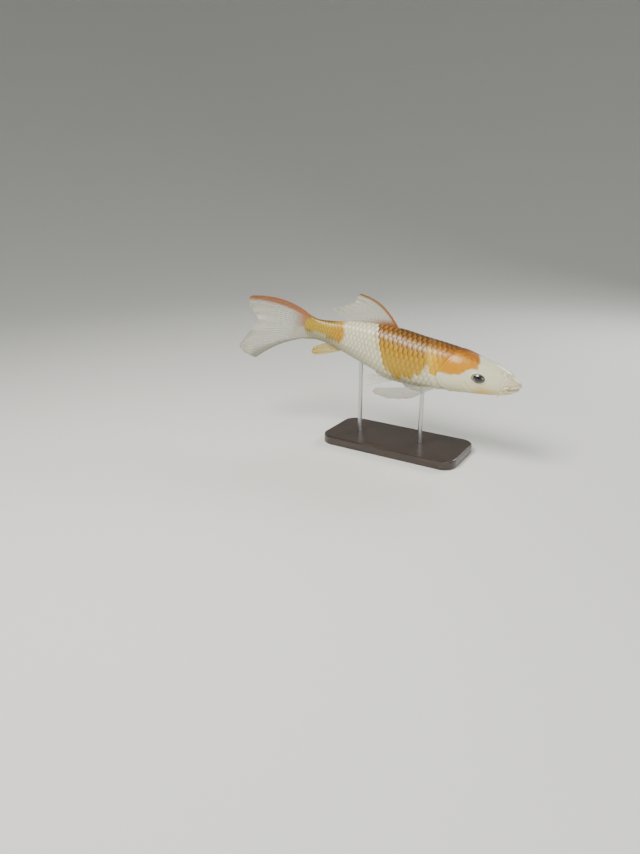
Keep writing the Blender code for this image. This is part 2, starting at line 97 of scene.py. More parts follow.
# ---------------------------------------------------------------- curves and sections
def smooth_line(points):
    """A curve through (place, value) points that never overshoots them, for whole arrays."""
    xs, ys = np.array(points, float).T
    steps = np.diff(xs)
    slopes = np.diff(ys) / steps
    tangents = np.concatenate([slopes[:1], np.zeros(len(slopes) - 1), slopes[-1:]])
    for i in range(1, len(slopes)):
        if slopes[i - 1] * slopes[i] > 0:
            one, two = 2 * steps[i] + steps[i - 1], steps[i] + 2 * steps[i - 1]
            tangents[i] = (one + two) / (one / slopes[i - 1] + two / slopes[i])

    def value(x):
        x = np.clip(x, xs[0], xs[-1])
        i = np.clip(np.searchsorted(xs, x, side="right") - 1, 0, len(steps) - 1)
        t = (x - xs[i]) / steps[i]
        ends = ys[i] * (1 + 2 * t) * (1 - t) ** 2 + ys[i + 1] * t * t * (3 - 2 * t)
        return ends + steps[i] * (tangents[i] * t * (1 - t) ** 2 - tangents[i + 1] * t * t * (1 - t))

    return value


def rounded_line(points):
    """As smooth_line, by the root of the place, so that the outline starts round at the snout."""
    line = smooth_line([(math.sqrt(x), y) for x, y in points])
    return lambda x: line(np.sqrt(np.maximum(x, 0)))


back_line, belly_line, width_line = (rounded_line(p) for p in (BACK, BELLY, HALF_WIDTH))
widest_line, boxy_line = smooth_line(WIDEST), smooth_line(BOXINESS)


def ramp(low, high, x):
    """0 below low and 1 above high, smoothly; the other way round where low is the higher."""
    t = np.clip((x - low) / (high - low), 0, 1)
    return t * t * (3 - 2 * t)


def bell(x, width):
    return np.exp(-((x / width) ** 2))


def heading(share):
    """How far the spine has turned here: a bend along the body, and a flick of the tail fin."""
    return BEND_ANGLE * ramp(BEND_START, 1, share) + TAIL_FLICK * np.maximum(share - 1, 0) / TAIL_SPAN


SPINE_STEP = 0.005
SPINE_SHARES = np.arange(0, 1.5 + SPINE_STEP, SPINE_STEP)
_turns = heading(SPINE_SHARES[:-1] + SPINE_STEP / 2)
SPINE = np.concatenate([[[0, 0]], np.cumsum(-np.stack([np.cos(_turns), np.sin(_turns)], 1), 0)
                        * SPINE_STEP * LENGTH])


def on_spine(share, up, out=0.0):
    """Points at these shares of the length, this high and this far to the left, in metres."""
    turn = heading(share)
    x = np.interp(share, SPINE_SHARES, SPINE[:, 0]) - np.sin(turn) * out
    y = np.interp(share, SPINE_SHARES, SPINE[:, 1]) + np.cos(turn) * out
    return np.stack(np.broadcast_arrays(x, y, up), -1)


def power(x, exponent):
    return np.sign(x) * np.abs(x) ** exponent


def section_offsets(share, angle, swell=0.0):
    """Out and up of the body's surface: angle 0 is the back, pi / 2 the left flank and pi the belly."""
    top, low = back_line(share) * LENGTH, belly_line(share) * LENGTH
    middle = low + widest_line(share) * (top - low)
    boxy = boxy_line(share)
    across, upward = power(np.sin(angle), boxy), power(np.cos(angle), boxy)
    reach = np.where(upward > 0, top - middle, middle - low) + swell
    thin = STEM_EDGE + (1 - STEM_EDGE) * ramp(STEM_END, STEM_THINS, share)
    return across * (width_line(share) * LENGTH * thin + swell), middle + upward * reach


def on_section(share, angle, swell=0.0):
    out, up = section_offsets(share, angle, swell)
    return on_spine(share, up, out)


# The way round the body by arc: 0 at the middle of the back, 1 at the middle of the belly.
GIRTH_SHARES = np.linspace(0.002, 1.06, 260)
GIRTH_ANGLES = np.linspace(0, math.pi, 181)
_ring = np.stack(section_offsets(GIRTH_SHARES[:, None], GIRTH_ANGLES[None, :]), -1)
_arcs = np.cumsum(np.linalg.norm(np.diff(_ring, axis=1), axis=2), 1)
HALF_GIRTH = _arcs[:, -1]
ROUND_OF_ANGLE = np.concatenate([np.zeros((len(_arcs), 1)), _arcs / HALF_GIRTH[:, None]], 1)
ROUND_STEPS = np.linspace(0, 1, 121)
ANGLE_OF_ROUND = np.stack([np.interp(ROUND_STEPS, row, GIRTH_ANGLES) for row in ROUND_OF_ANGLE])


def half_girth(share):
    return np.interp(share, GIRTH_SHARES, HALF_GIRTH)


def look_up(table, share, column, span):
    """Reads a table by share and by column value, which runs from 0 to span."""
    row = np.clip((share - GIRTH_SHARES[0]) / (GIRTH_SHARES[1] - GIRTH_SHARES[0]), 0, len(table) - 1.001)
    col = np.clip(column / span, 0, 1) * (table.shape[1] - 1.001)
    i, j = row.astype(int), col.astype(int)
    a, b = row - i, col - j
    near = table[i, j] * (1 - b) + table[i, j + 1] * b
    return near * (1 - a) + (table[i + 1, j] * (1 - b) + table[i + 1, j + 1] * b) * a


def angle_at(share, round_share):
    """The section angle at a way round, which may run on over the back or under the belly."""
    folded = np.abs(round_share)
    over = folded > 1
    angle = look_up(ANGLE_OF_ROUND, share, np.where(over, 2 - folded, folded), 1)
    return np.where(round_share < 0, -1, 1) * np.where(over, 2 * math.pi - angle, angle)


def round_at(share, angle):
    return look_up(ROUND_OF_ANGLE, share, np.abs(angle), math.pi)


# ---------------------------------------------------------------- from the fish's axes to the frame
eye_out = float(section_offsets(np.array(EYE_PLACE[0]), np.array(EYE_ANGLE))[0]) - EYE_SINK
TILT = np.array(Matrix.Rotation(PITCH, 3, "Y"))
_eyes = np.mean([np.array(corner) for _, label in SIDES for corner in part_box(f"eye_{label}")], 0)
OFFSET = _eyes - TILT @ np.array((-EYE_PLACE[0] * LENGTH, 0, EYE_PLACE[1] * LENGTH))


def in_frame(points):
    return points @ TILT.T + OFFSET


# ---------------------------------------------------------------- shader sheets
class Signal:
    """A shader value that takes part in arithmetic: each expression adds its Math nodes."""

    def __init__(self, sheet, socket):
        self.sheet, self.socket = sheet, socket

    def maths(self, operation, *values, clamp=False):
        settings = {"operation": operation, "use_clamp": clamp}
        return self.sheet.node("Math", settings, dict(enumerate(values)))

    def __add__(self, other):
        return self.maths("ADD", self, other)

    def __sub__(self, other):
        return self.maths("SUBTRACT", self, other)

    def __rsub__(self, other):
        return self.maths("SUBTRACT", other, self)

    def __mul__(self, other):
        return self.maths("MULTIPLY", self, other)

    def __abs__(self):
        return self.maths("ABSOLUTE", self)

    def sine(self):
        return self.maths("SINE", self)

    def fraction(self):
        return self.maths("FRACT", self)

    def clamped(self):
        return self.maths("ADD", self, 0.0, clamp=True)

    def __or__(self, other):
        """The greater of the two: where either of two patches covers."""
        return self.maths("MAXIMUM", self, other)

    __radd__, __rmul__ = __add__, __mul__


class Sheet:
    """A material: its nodes come from node(), and its shader's constants from the values given."""

    def __init__(self, name, **constants):
        self.material = bpy.data.materials.new(name)
        self.material.use_nodes = True
        self.tree = self.material.node_tree
        self.shader = self.tree.nodes["Principled BSDF"]
        for key, value in constants.items():
            self.shader.inputs[key.replace("_", " ")].default_value = value

    def node(self, kind, settings=None, inputs=None, output=0):
        """A node of this kind with its settings, and the values or links of its inputs."""
        made = self.tree.nodes.new("ShaderNode" + kind)
        for key, value in (settings or {}).items():
            setattr(made, key, value)
        for key, value in (inputs or {}).items():
            self.feed(made.inputs[key], value)
        return Signal(self, made.outputs[output])

    def feed(self, socket, value):
        if isinstance(value, Signal):
            self.tree.links.new(value.socket, socket)
        elif isinstance(value, tuple) and len(value) == 3 and socket.type == "RGBA":
            socket.default_value = (*value, 1)
        else:
            socket.default_value = value

    def drive(self, **inputs):
        for key, value in inputs.items():
            self.feed(self.shader.inputs[key.replace("_", " ")], value)

    def attribute(self, name):
        return self.node("Attribute", {"attribute_name": name}, output=1)

    def spot(self):
        """The place on the model, in metres."""
        return self.node("TexCoord", output=3)

    def flat(self, name):
        """The two coordinates of a UV map."""
        return self.parts(self.node("UVMap", {"uv_map": name}))[:2]

    def parts(self, vector):
        return [self.node("SeparateXYZ", inputs={0: vector}, output=i) for i in range(3)]

    def scaled(self, vector, factors):
        return self.node("VectorMath", {"operation": "MULTIPLY"}, {0: vector, 1: factors})

    def step(self, low, high, value):
        """0 below low and 1 above high, smoothly."""
        return self.node("MapRange", {"interpolation_type": "SMOOTHSTEP"}, {0: value, 1: low, 2: high})

    def noise(self, vector, scale, detail, roughness=0.55):
        """Clouds about 0, from about -0.5 to 0.5."""
        return self.node("TexNoise", None, {"Vector": vector, "Scale": scale, "Detail": detail,
                                            "Roughness": roughness}) - 0.5

    def mix(self, one, two, share):
        return self.node("Mix", {"data_type": "RGBA"}, {0: share, 6: one, 7: two}, output=2)

    def bump(self, height, distance, strength):
        return self.node("Bump", None, {"Height": height, "Distance": distance, "Strength": strength})


# ---------------------------------------------------------------- making meshes
MAP_EDGE = 0.01  # left free along the edges of a baking map


def reshape(bm, place):
    """Moves every vertex: place takes and gives arrays of points."""
    old = np.array([v.co for v in bm.verts])
    for vert, point in zip(bm.verts, place(old)):
        vert.co = point
    return old


def finish_mesh(bm, name, sheet, slot, *nodes, sharp=None):
    """A piece of the model in place of these nodes."""
    mesh = bpy.data.meshes.new(name)
    bm.to_mesh(mesh)
    bm.free()
    mesh.materials.append(sheet.material)
    mesh.shade_smooth()
    if sharp:
        mesh.set_sharp_from_angle(angle=math.radians(sharp))
    piece = bpy.data.objects.new(name, mesh)
    bpy.context.scene.collection.objects.link(piece)
    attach(piece, "root")
    if nodes:
        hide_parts(*nodes)
    return piece


def loop_vertices(mesh):
    """The vertex at each corner of each face."""
    index = np.empty(len(mesh.loops), np.int32)
    mesh.loops.foreach_get("vertex_index", index)
    return index


def write_uv(mesh, name, per_loop):
    layer = mesh.uv_layers.new(name=name)
    layer.data.foreach_set("uv", per_loop.astype(np.float32).ravel())


def write_vectors(mesh, name, per_vertex):
    layer = mesh.attributes.new(name, "FLOAT_VECTOR", "POINT")
    layer.data.foreach_set("vector", per_vertex.astype(np.float32).ravel())


def in_map(share):
    """A share from 0 to 1, kept clear of the map's edges."""
    return MAP_EDGE + (1 - 2 * MAP_EDGE) * share


def unrolled(share, round_share):
    """A place on the flat unwrap of one flank, which has the fish's own outline."""
    wide = half_girth(share) / HALF_GIRTH.max()
    return np.stack([in_map(share / GIRTH_SHARES[-1]), in_map(0.5 + (round_share - 0.5) * wide)], -1)


# ---------------------------------------------------------------- colours of the fish
IVORY, IVORY_SHADE, PALE_GOLD = (0.70, 0.67, 0.46), (0.36, 0.34, 0.21), (0.68, 0.40, 0.018)
ORANGE, DEEP_ORANGE, GOLD = (0.58, 0.245, 0.004), (0.26, 0.075, 0.004), (0.47, 0.285, 0.022)
OCHRE, EDGE_BROWN, BACK_BROWN = (0.46, 0.31, 0.026), (0.060, 0.025, 0.008), (0.085, 0.045, 0.014)
# The second colour on the next line is the underside's own grey-brown, deepened as painted shade.
# The third colour on the next line is a painted highlight for the pale scales.
LIP_PINK, BELLY_GREY_AND_SHADE, SCALE_PAINTED_HIGHLIGHT = (0.62, 0.48, 0.30), (0.15, 0.12, 0.055), (0.84, 0.80, 0.58)


def patches(sheet, a, r, left):
    """How far the patches on nape, back and stem cover, and the bridge between the first two."""

    def within(front, rear, low, soft=0.006):
        """A patch over the back, between two shares of the length and down to one way round."""
        return (sheet.step(-soft, soft, a - front) * sheet.step(-soft, soft, rear - a)
                * sheet.step(-0.02, 0.02, low - r))

    nape = within(0.190 - r * 0.12 + r * r * 0.16, 0.372 - r * 0.05,
                  0.31 + sheet.step(0.17, 0.27, a) * 0.22 - left * 0.08)
    saddle = within(0.374 - r * 0.02 + sheet.step(0.38, 0.60, r) * 0.022 + left * 0.035,
                    0.630 - r * 0.05 - r * r * r * 0.19 - left * 0.04,
                    0.60 + sheet.step(0.38, 0.47, a) * 0.16 - left * 0.16)
    bridge = within(0.330, 0.415, 0.47 - sheet.step(0.36, 0.40, a) * 0.06 - left * 0.14, 0.012)
    stem = within(0.788 - r * 0.05 + r * r * 0.06 + left * 0.02, 1.5,
                  0.69 - sheet.step(0.80, 0.88, a) * 0.09 + sheet.step(0.92, 0.98, a) * 0.09)
    return nape, saddle, stem, bridge


def patch_tones(sheet, a, r, cloud):
    """The colours of the patches on nape, back and stem: deeper towards the back, in clouds."""
    nape = sheet.mix(ORANGE, PALE_GOLD, sheet.step(0.29, 0.34, a) * sheet.step(0.12, 0.26, r) * 0.8)
    nape = sheet.mix(nape, DEEP_ORANGE, sheet.step(0.31, 0.03, r + (cloud - 0.5) * 0.40) * 0.90)
    saddle = sheet.mix(GOLD, ORANGE, sheet.step(0.60, 0.25, r + (cloud - 0.5) * 0.6) * 0.38)
    saddle = sheet.mix(saddle, DEEP_ORANGE, sheet.step(0.40, 0.02, r + (cloud - 0.5) * 0.4) * 0.70)
    band = sheet.step(0.86, 0.80, a)
    stem = sheet.mix(OCHRE, ORANGE, band * 0.55 | sheet.step(0.20, 0.04, r) * 0.5)
    return nape, saddle, stem


def pale_skin(sheet, ground, a, r, round_, cloud):
    """Ivory, greyer below with painted shade and greyer in clouds, with gold on flank, throat and cheek and
    a pink snout.
    """
    blush = sheet.step(0.335, 0.35, a) * sheet.step(0.42, 0.40, a) * sheet.step(0.68, 0.50, r)
    throat = sheet.step(0.055, 0.115, a) * sheet.step(0.21, 0.14, a) * sheet.step(0.56, 0.76, r)
    snout = sheet.step(0.095, 0.02, a + sheet.noise(ground, 240, 2) * 0.05)
    cheek = sheet.step(0.05, 0.12, a) * sheet.step(0.30, 0.16, a) * sheet.step(0.48, 0.64, r)
    shade = sheet.step(0.50, 0.05, r)
    # Painted shade greys the pale skin towards the belly. It is also a little greyer towards the back.
    pale = sheet.mix(IVORY, IVORY_SHADE, sheet.step(0.62, 0.95, round_) * 0.30 + shade * 0.12)
    pale = sheet.mix(pale, IVORY_SHADE, sheet.step(0.50, 0.90, cloud) * 0.22)
    pale = sheet.mix(pale, PALE_GOLD, blush * 0.55 | throat * 0.70 | cheek * 0.16)
    return sheet.mix(pale, LIP_PINK, snout * 0.55)


def markings(sheet):
    """The koi's colours, with partly painted shade along the underside, from the place attribute: share
    along, way round from the back, and side.

    Gives the colour, how far each kind of patch covers, and the wavering and the plain way round."""
    place = sheet.attribute("place")
    along, round_, side = sheet.parts(place)
    ground = sheet.scaled(place, (LENGTH, 0.09, 0.04))  # about metres in each direction
    wide = sheet.noise(ground, 55, 2) * 0.045
    left = sheet.step(-0.2, 0.2, side)  # 0 on the right side, 1 on the left
    a = along + wide + sheet.noise(ground, 160, 2) * 0.011  # the patches' own, wavering coordinates
    r = round_ + wide * 1.6 + sheet.noise(ground, 90, 2) * 0.10
    cloud = sheet.noise(ground, 220, 3) + 0.5

    nape, saddle, stem, bridge = patches(sheet, a, r, left)
    nape_tone, saddle_tone, stem_tone = patch_tones(sheet, a, r, cloud)
    colour = sheet.mix(pale_skin(sheet, ground, a, r, round_, cloud), nape_tone, nape)
    colour = sheet.mix(colour, sheet.mix(PALE_GOLD, nape_tone, sheet.step(0.34, 0.08, r)), bridge * 0.85)
    colour = sheet.mix(colour, saddle_tone, saddle)
    colour = sheet.mix(colour, stem_tone, stem)
    ridge = (sheet.step(0.13, 0.04, round_) * sheet.step(0.21, 0.26, along) * sheet.step(0.58, 0.54, along)
             | sheet.step(0.17, 0.07, round_) * sheet.step(0.80, 0.86, along))
    # Partly painted shade: the underside from mid-body back is greyed, most towards the stem. This is
    # partly the skin's own grey-brown.
    stem_low = sheet.step(0.76, 0.88, along)
    grey_and_shade_below = sheet.step(0.55, 0.74, round_ + stem_low * 0.07) * sheet.step(0.56, 0.80, along)
    colour = sheet.mix(colour, BACK_BROWN, ridge * 0.75)
    colour = sheet.mix(colour, BELLY_GREY_AND_SHADE, grey_and_shade_below * (stem_low * 0.36 + 0.50))
    return colour, nape | bridge * 0.8, saddle, stem, r, round_


def skin_sheet():
    sheet = Sheet("koi_skin", Coat_Roughness=0.16, Specular_IOR_Level=0.36)
    colour = markings(sheet)[0]
    spot = sheet.spot()
    clouds = sheet.noise(spot, 120, 4)
    grain = sheet.noise(spot, 900, 4) + sheet.noise(spot, 260, 3) * 1.5
    colour = sheet.mix(colour, IVORY_SHADE, sheet.step(0.10, 0.45, clouds) * 0.5)
    sheet.drive(Base_Color=colour, Roughness=clouds * 0.16 + 0.37, Coat_Weight=0.25 - clouds * 0.16,
                Normal=sheet.bump(grain, 0.00016, 0.6))
    return sheet


def scale_sheet():
    """Scales: the fish's colours, with dark rims where the patches are dark, a painted highlight on the
    pale scales, painted shade at each scale's root, and fine growth rings.
    """
    sheet = Sheet("koi_scales", Coat_Roughness=0.16, Specular_IOR_Level=0.32)
    colour, nape, saddle, stem, r, round_ = markings(sheet)
    u, v = sheet.flat("scale")
    spot = sheet.spot()
    reach = v - abs(u - 0.5) * abs(u - 0.5) * 0.5
    rim = sheet.step(0.68, 0.92, reach)
    # Painted shade: the root of each scale, just behind the free edge of the scale in front, is darkened
    # towards brown, less on pale scales.
    root = sheet.step(0.52, 0.34, reach)
    net = (saddle * (sheet.step(0.60, 0.10, r) * 0.70 + 0.25)
           | nape * (sheet.step(0.40, 0.08, r) * 0.6 + 0.15) | stem * 0.40)
    white = (1.0 - (nape + saddle + stem)).clamped()
    # Painted highlight: pale scales lightened over all but their free ends, most near the back and not low
    # on the flank.
    painted_highlight = white * sheet.step(0.85, 0.55, v) * (sheet.step(0.42, 0.12, r) * 0.35 + 0.30)
    painted_highlight = painted_highlight * sheet.step(0.66, 0.54, round_)
    colour = sheet.mix(colour, SCALE_PAINTED_HIGHLIGHT, painted_highlight)
    colour = sheet.mix(colour, EDGE_BROWN, rim * net | root * (0.30 - white * 0.12))
    colour = sheet.mix(colour, IVORY_SHADE, rim * white * 0.65)
    side_line = sheet.step(0.020, 0.012, abs(round_ - 0.5)) * sheet.step(0.035, 0.010, abs(u - 0.5))
    pore = side_line * sheet.step(0.50, 0.60, v) * sheet.step(0.88, 0.76, v)
    colour = sheet.mix(colour, BACK_BROWN, pore * 0.30)
    rings = (v * 140.0 + sheet.noise(spot, 900, 2) * 6.0).sine()
    spokes = (u * 74.0).sine()
    relief = rings * 0.14 + spokes * 0.30 * sheet.step(0.5, 0.9, v) + pore * 7.0 + sheet.noise(spot, 700, 3)
    sheet.drive(Base_Color=colour, Roughness=rim * 0.12 + 0.36, Coat_Weight=0.26 - rim * 0.14,
                Normal=sheet.bump(relief, 0.00007, 0.6))
    return sheet


# ---------------------------------------------------------------- the skin
SKIN_AROUND, SKIN_ALONG = 256, 350
# Where on the length each of the ball's rings goes, as a root: most of the rings go to the head.
RINGS = smooth_line(((0, 0), (0.12, 0.155), (0.36, 0.346), (0.64, 0.575), (1, 1.0050)))
SKIN_SHARES = 1.03  # the share of the length at which the skin's baking map ends
# Ellipses on the side view: middle and half sizes.
GILL_REAR = (0.250, -0.036, 0.075, 0.062)  # the round rear of the gill cover
CHEEK = (0.125, 0.020, 0.100, 0.098)  # its rear edge is the groove in front of the gill cover
NOSE = (-0.002, -0.016, 0.072, 0.058)  # its rear edge is the fold above the lips
# Soft ridges and grooves beside an edge, in metres: distance from the edge, height and half width.
GILL_EDGE = ((-0.0016, 0.0007, 0.0013), (0.0012, -0.0013, 0.0010))
CHEEK_EDGE = ((-0.0016, 0.0004, 0.0014), (0.0004, -0.0007, 0.0008), (0.0045, 0.0003, 0.0020),
              (-0.0075, -0.0003, 0.0010))
LID = ((0.0010, 0.0009, 0.0013),)
EYE_FOLD = ((0.0050, 0.0004, 0.0012), (0.0033, -0.0004, 0.0009))
LIPS = ((0.0021, 0.0012, 0.0013), (0.0043, -0.0008, 0.0007))
LIP_FULLNESS = 0.00045
EYE_OPENING, LID_HEIGHT = 0.0080, 0.73  # half length of the opening, and its height as a share of that
LID_DRAW, SOCKET_DEPTH = 0.00036, 0.0045  # points this near the rim are drawn onto it
NOSTRIL = ((0.053, -0.0015, 0.0013), (0.0622, 0.0015, 0.0018), (0.0730, -0.0017, 0.0016))
NOSTRIL_ANGLE = math.radians(34)
GILL_HUB = (0.226, 0.020)  # the gill cover's fine rays spread from here
THROAT_SEAM = ((0.13, 0.97), (0.285, 0.81))  # share of the length and way round, at its two ends


def relief(distance, forms):
    return sum(height * bell(distance - place, width) for place, height, width in forms)


def ellipse_gap(share, up, centre, height, long, tall):
    """About how many metres outside an ellipse on the side view, negative inside it."""
    away = np.hypot((share - centre) / long, (up / LENGTH - height) / tall)
    return (away - 1) * (long + tall) / 2 * LENGTH


def behind_head(share, up):
    """Metres behind the rear edge of the head and its gill cover, negative on the head."""
    return np.minimum(ellipse_gap(share, up, *HEAD_BLOCK), ellipse_gap(share, up, *GILL_REAR))


def gill_forms(share, way, up):
    """The gill cover, its soft rear edge, the groove in front of it and the seam along the throat."""
    z = up / LENGTH
    behind = behind_head(share, up)
    flank = ramp(0.10, 0.22, way) * ramp(0.93, 0.84, way)
    on_head = 1 - ramp(-0.0006, 0.0010, behind)
    low_half = ramp(0.050, 0.024, z)
    lift = low_half * relief(behind, GILL_EDGE)
    plate = ramp(-0.0036, -0.0046, behind) * ramp(0.233, 0.239, share + (z - 0.01) ** 2 * 2.2) * low_half
    aft, high = share - GILL_HUB[0], z - GILL_HUB[1]
    turn = np.arctan2(high, aft)
    rays = np.cos(turn * 34 + 6 * np.sin(turn * 3)) * ramp(0.012, 0.05, np.hypot(high, aft))
    lower_edge = (z + 0.062 + 0.35 * (share - 0.24)) * LENGTH
    lift += flank * on_head * plate * (0.0006 + 0.00009 * rays - 0.0003 * bell(lower_edge, 0.0006))
    arc = ramp(0.026, 0.010, z) * ramp(0.115, 0.140, share) * flank
    lift += arc * relief(ellipse_gap(share, up, *CHEEK), CHEEK_EDGE)
    (front, low), (rear, high) = THROAT_SEAM
    seam = (way - (low + (high - low) * (share - front) / (rear - front))) * half_girth(share)
    return lift - 0.0010 * bell(seam, 0.0010) * ramp(0.110, 0.14, share) * ramp(0.300, rear, share)


def eye_distance(share, up):
    """Metres from the middle of the eye on the side view, where the oval opening counts as a circle."""
    return np.hypot(share - EYE_PLACE[0], (up / LENGTH - EYE_PLACE[1]) / LID_HEIGHT) * LENGTH


def drawn_to_lid(share, out, up):
    """Draws the points beside the rim of the eye's opening onto it, for a clean edge."""
    off = eye_distance(share, up)
    near = (np.abs(off - EYE_OPENING) < LID_DRAW) & (np.abs(out) > 0.010)
    factor = np.where(near, EYE_OPENING / np.maximum(off, 1e-6), 1)
    return (EYE_PLACE[0] + (share - EYE_PLACE[0]) * factor,
            (EYE_PLACE[1] + (up / LENGTH - EYE_PLACE[1]) * factor) * LENGTH)


def eye_socket(share, out, up):
    """An oval opening with a soft lid round each eye, and the fold below it."""
    off = eye_distance(share, up) - EYE_OPENING
    beside = ramp(0.008, 0.012, np.abs(out))
    fold = relief(off, EYE_FOLD) * ramp(-0.01, 0.012, EYE_PLACE[1] - up / LENGTH)
    return beside * (relief(off, LID) - SOCKET_DEPTH * ramp(0, -0.0007, off) + fold)


def mouth_forms(share, up):
    """A slit between two thick lips, which meet in a fold round its corner, and the fold above them."""
    slope = math.atan2(MOUTH_FRONT[1] - MOUTH_CORNER[1], MOUTH_CORNER[0] - MOUTH_FRONT[0])
    far, high = (share - MOUTH_FRONT[0]) * LENGTH, up - MOUTH_FRONT[1] * LENGTH
    along = far * math.cos(slope) - high * math.sin(slope)
    above = high * math.cos(slope) + far * math.sin(slope)
    corner = math.dist(MOUTH_FRONT, MOUTH_CORNER) * LENGTH
    above = above - 0.0010 * ramp(0.35, 1.0, along / corner) ** 2  # the slit turns down at its corner
    inside = ramp(corner + 0.0006, corner - 0.0014, along)
    off = np.hypot(above, np.maximum(along - corner + 0.0012, 0) * 0.8)  # from the slit, round its corner
    lips = ramp(corner + 0.0042, corner + 0.0022, along)
    lift = lips * relief(off, LIPS) - 0.0024 * bell(above, 0.0007) * inside
    z = up / LENGTH
    fold = bell(ellipse_gap(share, up, *NOSE), 0.0009) * ramp(-0.040, -0.022, z) * ramp(0.03, 0.012, z)
    return lift - 0.0004 * fold


def nostrils(share, out, up):
    """On each side a pit, the flap that stands up behind it, and a second pit."""
    lift = 0
    for side in (1, -1):
        for place, height, width in NOSTRIL:
            spot_out, spot_up = section_offsets(np.array(place), np.array(side * NOSTRIL_ANGLE))
            away = np.sqrt(((share - place) * LENGTH) ** 2 + (out - spot_out) ** 2 + (up - spot_up) ** 2)
            lift = lift + height * bell(away, width)
    return lift


def sculpted(share, angle, out, up):
    """Metres that the skin stands off the plain body: the coat's depth, and the forms of the head."""
    way = round_at(share, angle)
    behind = behind_head(share, up)
    sharp_edge = ramp(0.056, 0.030, up / LENGTH)
    lift = -COAT_DEPTH * (sharp_edge * ramp(-0.0002, 0.0013, behind)
                          + (1 - sharp_edge) * ramp(-0.003, 0.004, behind))
    lift += gill_forms(share, way, up) + eye_socket(share, out, up) + mouth_forms(share, up)
    crown = 0.0005 * bell(share - 0.115, 0.03) * ramp(0.30, 0.12, way)  # low bumps of the skull
    crown -= 0.0006 * bell(share - 0.036, 0.010) * ramp(0.40, 0.20, way)
    return lift + crown + nostrils(share, out, up)


def make_skin(sheet):
    """One closed skin over head, jaw, gill covers, trunk and stem, from a ball laid along the fish."""
    bm = bmesh.new()
    bmesh.ops.create_uvsphere(bm, u_segments=SKIN_AROUND, v_segments=SKIN_ALONG, radius=1)
    ball = np.array([v.co for v in bm.verts])
    share = RINGS(np.arccos(np.clip(ball[:, 2], -1, 1)) / math.pi) ** 2
    angle = np.arctan2(ball[:, 1], ball[:, 0])
    out, up = section_offsets(share, angle)
    share, up = drawn_to_lid(share, out, up)
    plain = on_spine(share, up, out)
    reshape(bm, lambda _: plain)
    bm.normal_update()
    inwards = np.array([v.normal for v in bm.verts])  # laid along the fish, the ball is inside out
    bmesh.ops.reverse_faces(bm, faces=bm.faces)
    moved = plain - inwards * sculpted(share, angle, out, up)[:, None]
    moved[:, 0] -= LIP_FULLNESS * bell(share, 0.04)  # the full lips end where the solid's snout does
    reshape(bm, lambda _: in_frame(moved))
    piece = finish_mesh(bm, "skin", sheet, "skin_white", "head", "lower_jaw", "gill_cover_left",
                        "gill_cover_right", "trunk", "tail_stem")
    mesh = piece.data
    write_vectors(mesh, "place", np.stack([share, round_at(share, angle), np.sin(angle)], 1))
    index = loop_vertices(mesh)
    turn = (angle / (2 * math.pi))[index]
    first = np.empty(len(mesh.polygons), np.int32)
    count = np.empty(len(mesh.polygons), np.int32)
    mesh.polygons.foreach_get("loop_start", first)
    mesh.polygons.foreach_get("loop_total", count)
    turn -= np.round(turn - np.repeat(turn[first], count))  # keeps the faces at the seam whole
    write_uv(mesh, "OFBake", np.stack([in_map(share[index] / SKIN_SHARES), 0.5 + turn * 0.96], 1))


# ---------------------------------------------------------------- the scales
ROWS = smooth_line(((0.15, 12), (0.50, 12), (0.70, 10.6), (0.85, 9.0), (1.05, 8.0)))  # from back to belly
SPACING = 0.90  # of scales along a row, in rows' widths
ROW_REACH = 7  # rows above and below the side line
SCALE_ACROSS, SCALE_ALONG = 8, 5
SCALE_BACK, SCALE_FRONT, SCALE_HALF = 1.0, 1.12, 1.07  # reach before and behind the middle, half width
# Metres on a scale whose spacing is SCALE_STEP: the rise of its free end over one spacing, how far its
# sides and its end bend down and its middle swells, and the height of its edge's wall.
SCALE_STEP, RISE, SIDES_DOWN, END_DOWN, SWELL, WALL = 0.0060, 0.00050, 0.00022, 0.00010, 0.00012, 0.0006
ROOT_DEPTH, BACK_SWELL = 0.00015, 0.00012  # of the scales' roots in the skin, and over the back and belly
NAPE_GAP, GILL_GAP, NAPE_UP = 0.0008, 0.0030, 0.03  # bare skin behind the head, and where it narrows
LAST_SCALES, LAST_BOW = 0.990, 0.006
UNEVEN_LENGTH, UNEVEN_PLACE, UNEVEN_RISE, SEEDS = 0.03, 0.03, 0.10, (3, 7)  # of the single scales
# Where no scale is rooted: from and to along the length, and from and to the way round.
FIN_ROOTS = ((DORSAL_ROOT[0] - 0.004, DORSAL_ROOT[1], -1, 0.035), (*ANAL_ROOT, 0.97, 2))
FIRST_COLUMN, LAST_COLUMN = 0.180, 1.02
PATCH_ALONG, PATCH_HALF, WALL_OUT = 0.90, 0.44, 1.05  # a scale on the baking map, and its wall beside it


def scale_template():
    """One flat scale, from -1 to 1 across and 0 to 1 along, with a wall round its free edge to z = -1."""
    bm = bmesh.new()
    bmesh.ops.create_grid(bm, x_segments=SCALE_ACROSS, y_segments=SCALE_ALONG, size=1)
    bmesh.ops.translate(bm, verts=bm.verts, vec=(0, 1, 0))
    bmesh.ops.scale(bm, verts=bm.verts, vec=(1, 0.5, 1))
    free = [e for e in bm.edges if e.is_boundary and max(v.co.y for v in e.verts) > 1e-4]
    wall = bmesh.ops.extrude_edge_only(bm, edges=free)
    low = [v for v in wall["geom"] if isinstance(v, bmesh.types.BMVert)]
    bmesh.ops.translate(bm, verts=low, vec=(0, 0, -1))
    mesh = bpy.data.meshes.new("scale_template")
    bmesh.ops.recalc_face_normals(bm, faces=bm.faces)
    bm.to_mesh(mesh)
    bm.free()
    return mesh


def scale_columns():
    """The shares of the length at which scales are rooted, half a spacing apart."""
    columns = [FIRST_COLUMN]
    while columns[-1] < LAST_COLUMN:
        row_width = float(half_girth(columns[-1]) / ROWS(columns[-1]))
        columns.append(columns[-1] + SPACING / 2 * row_width / LENGTH)
    return columns


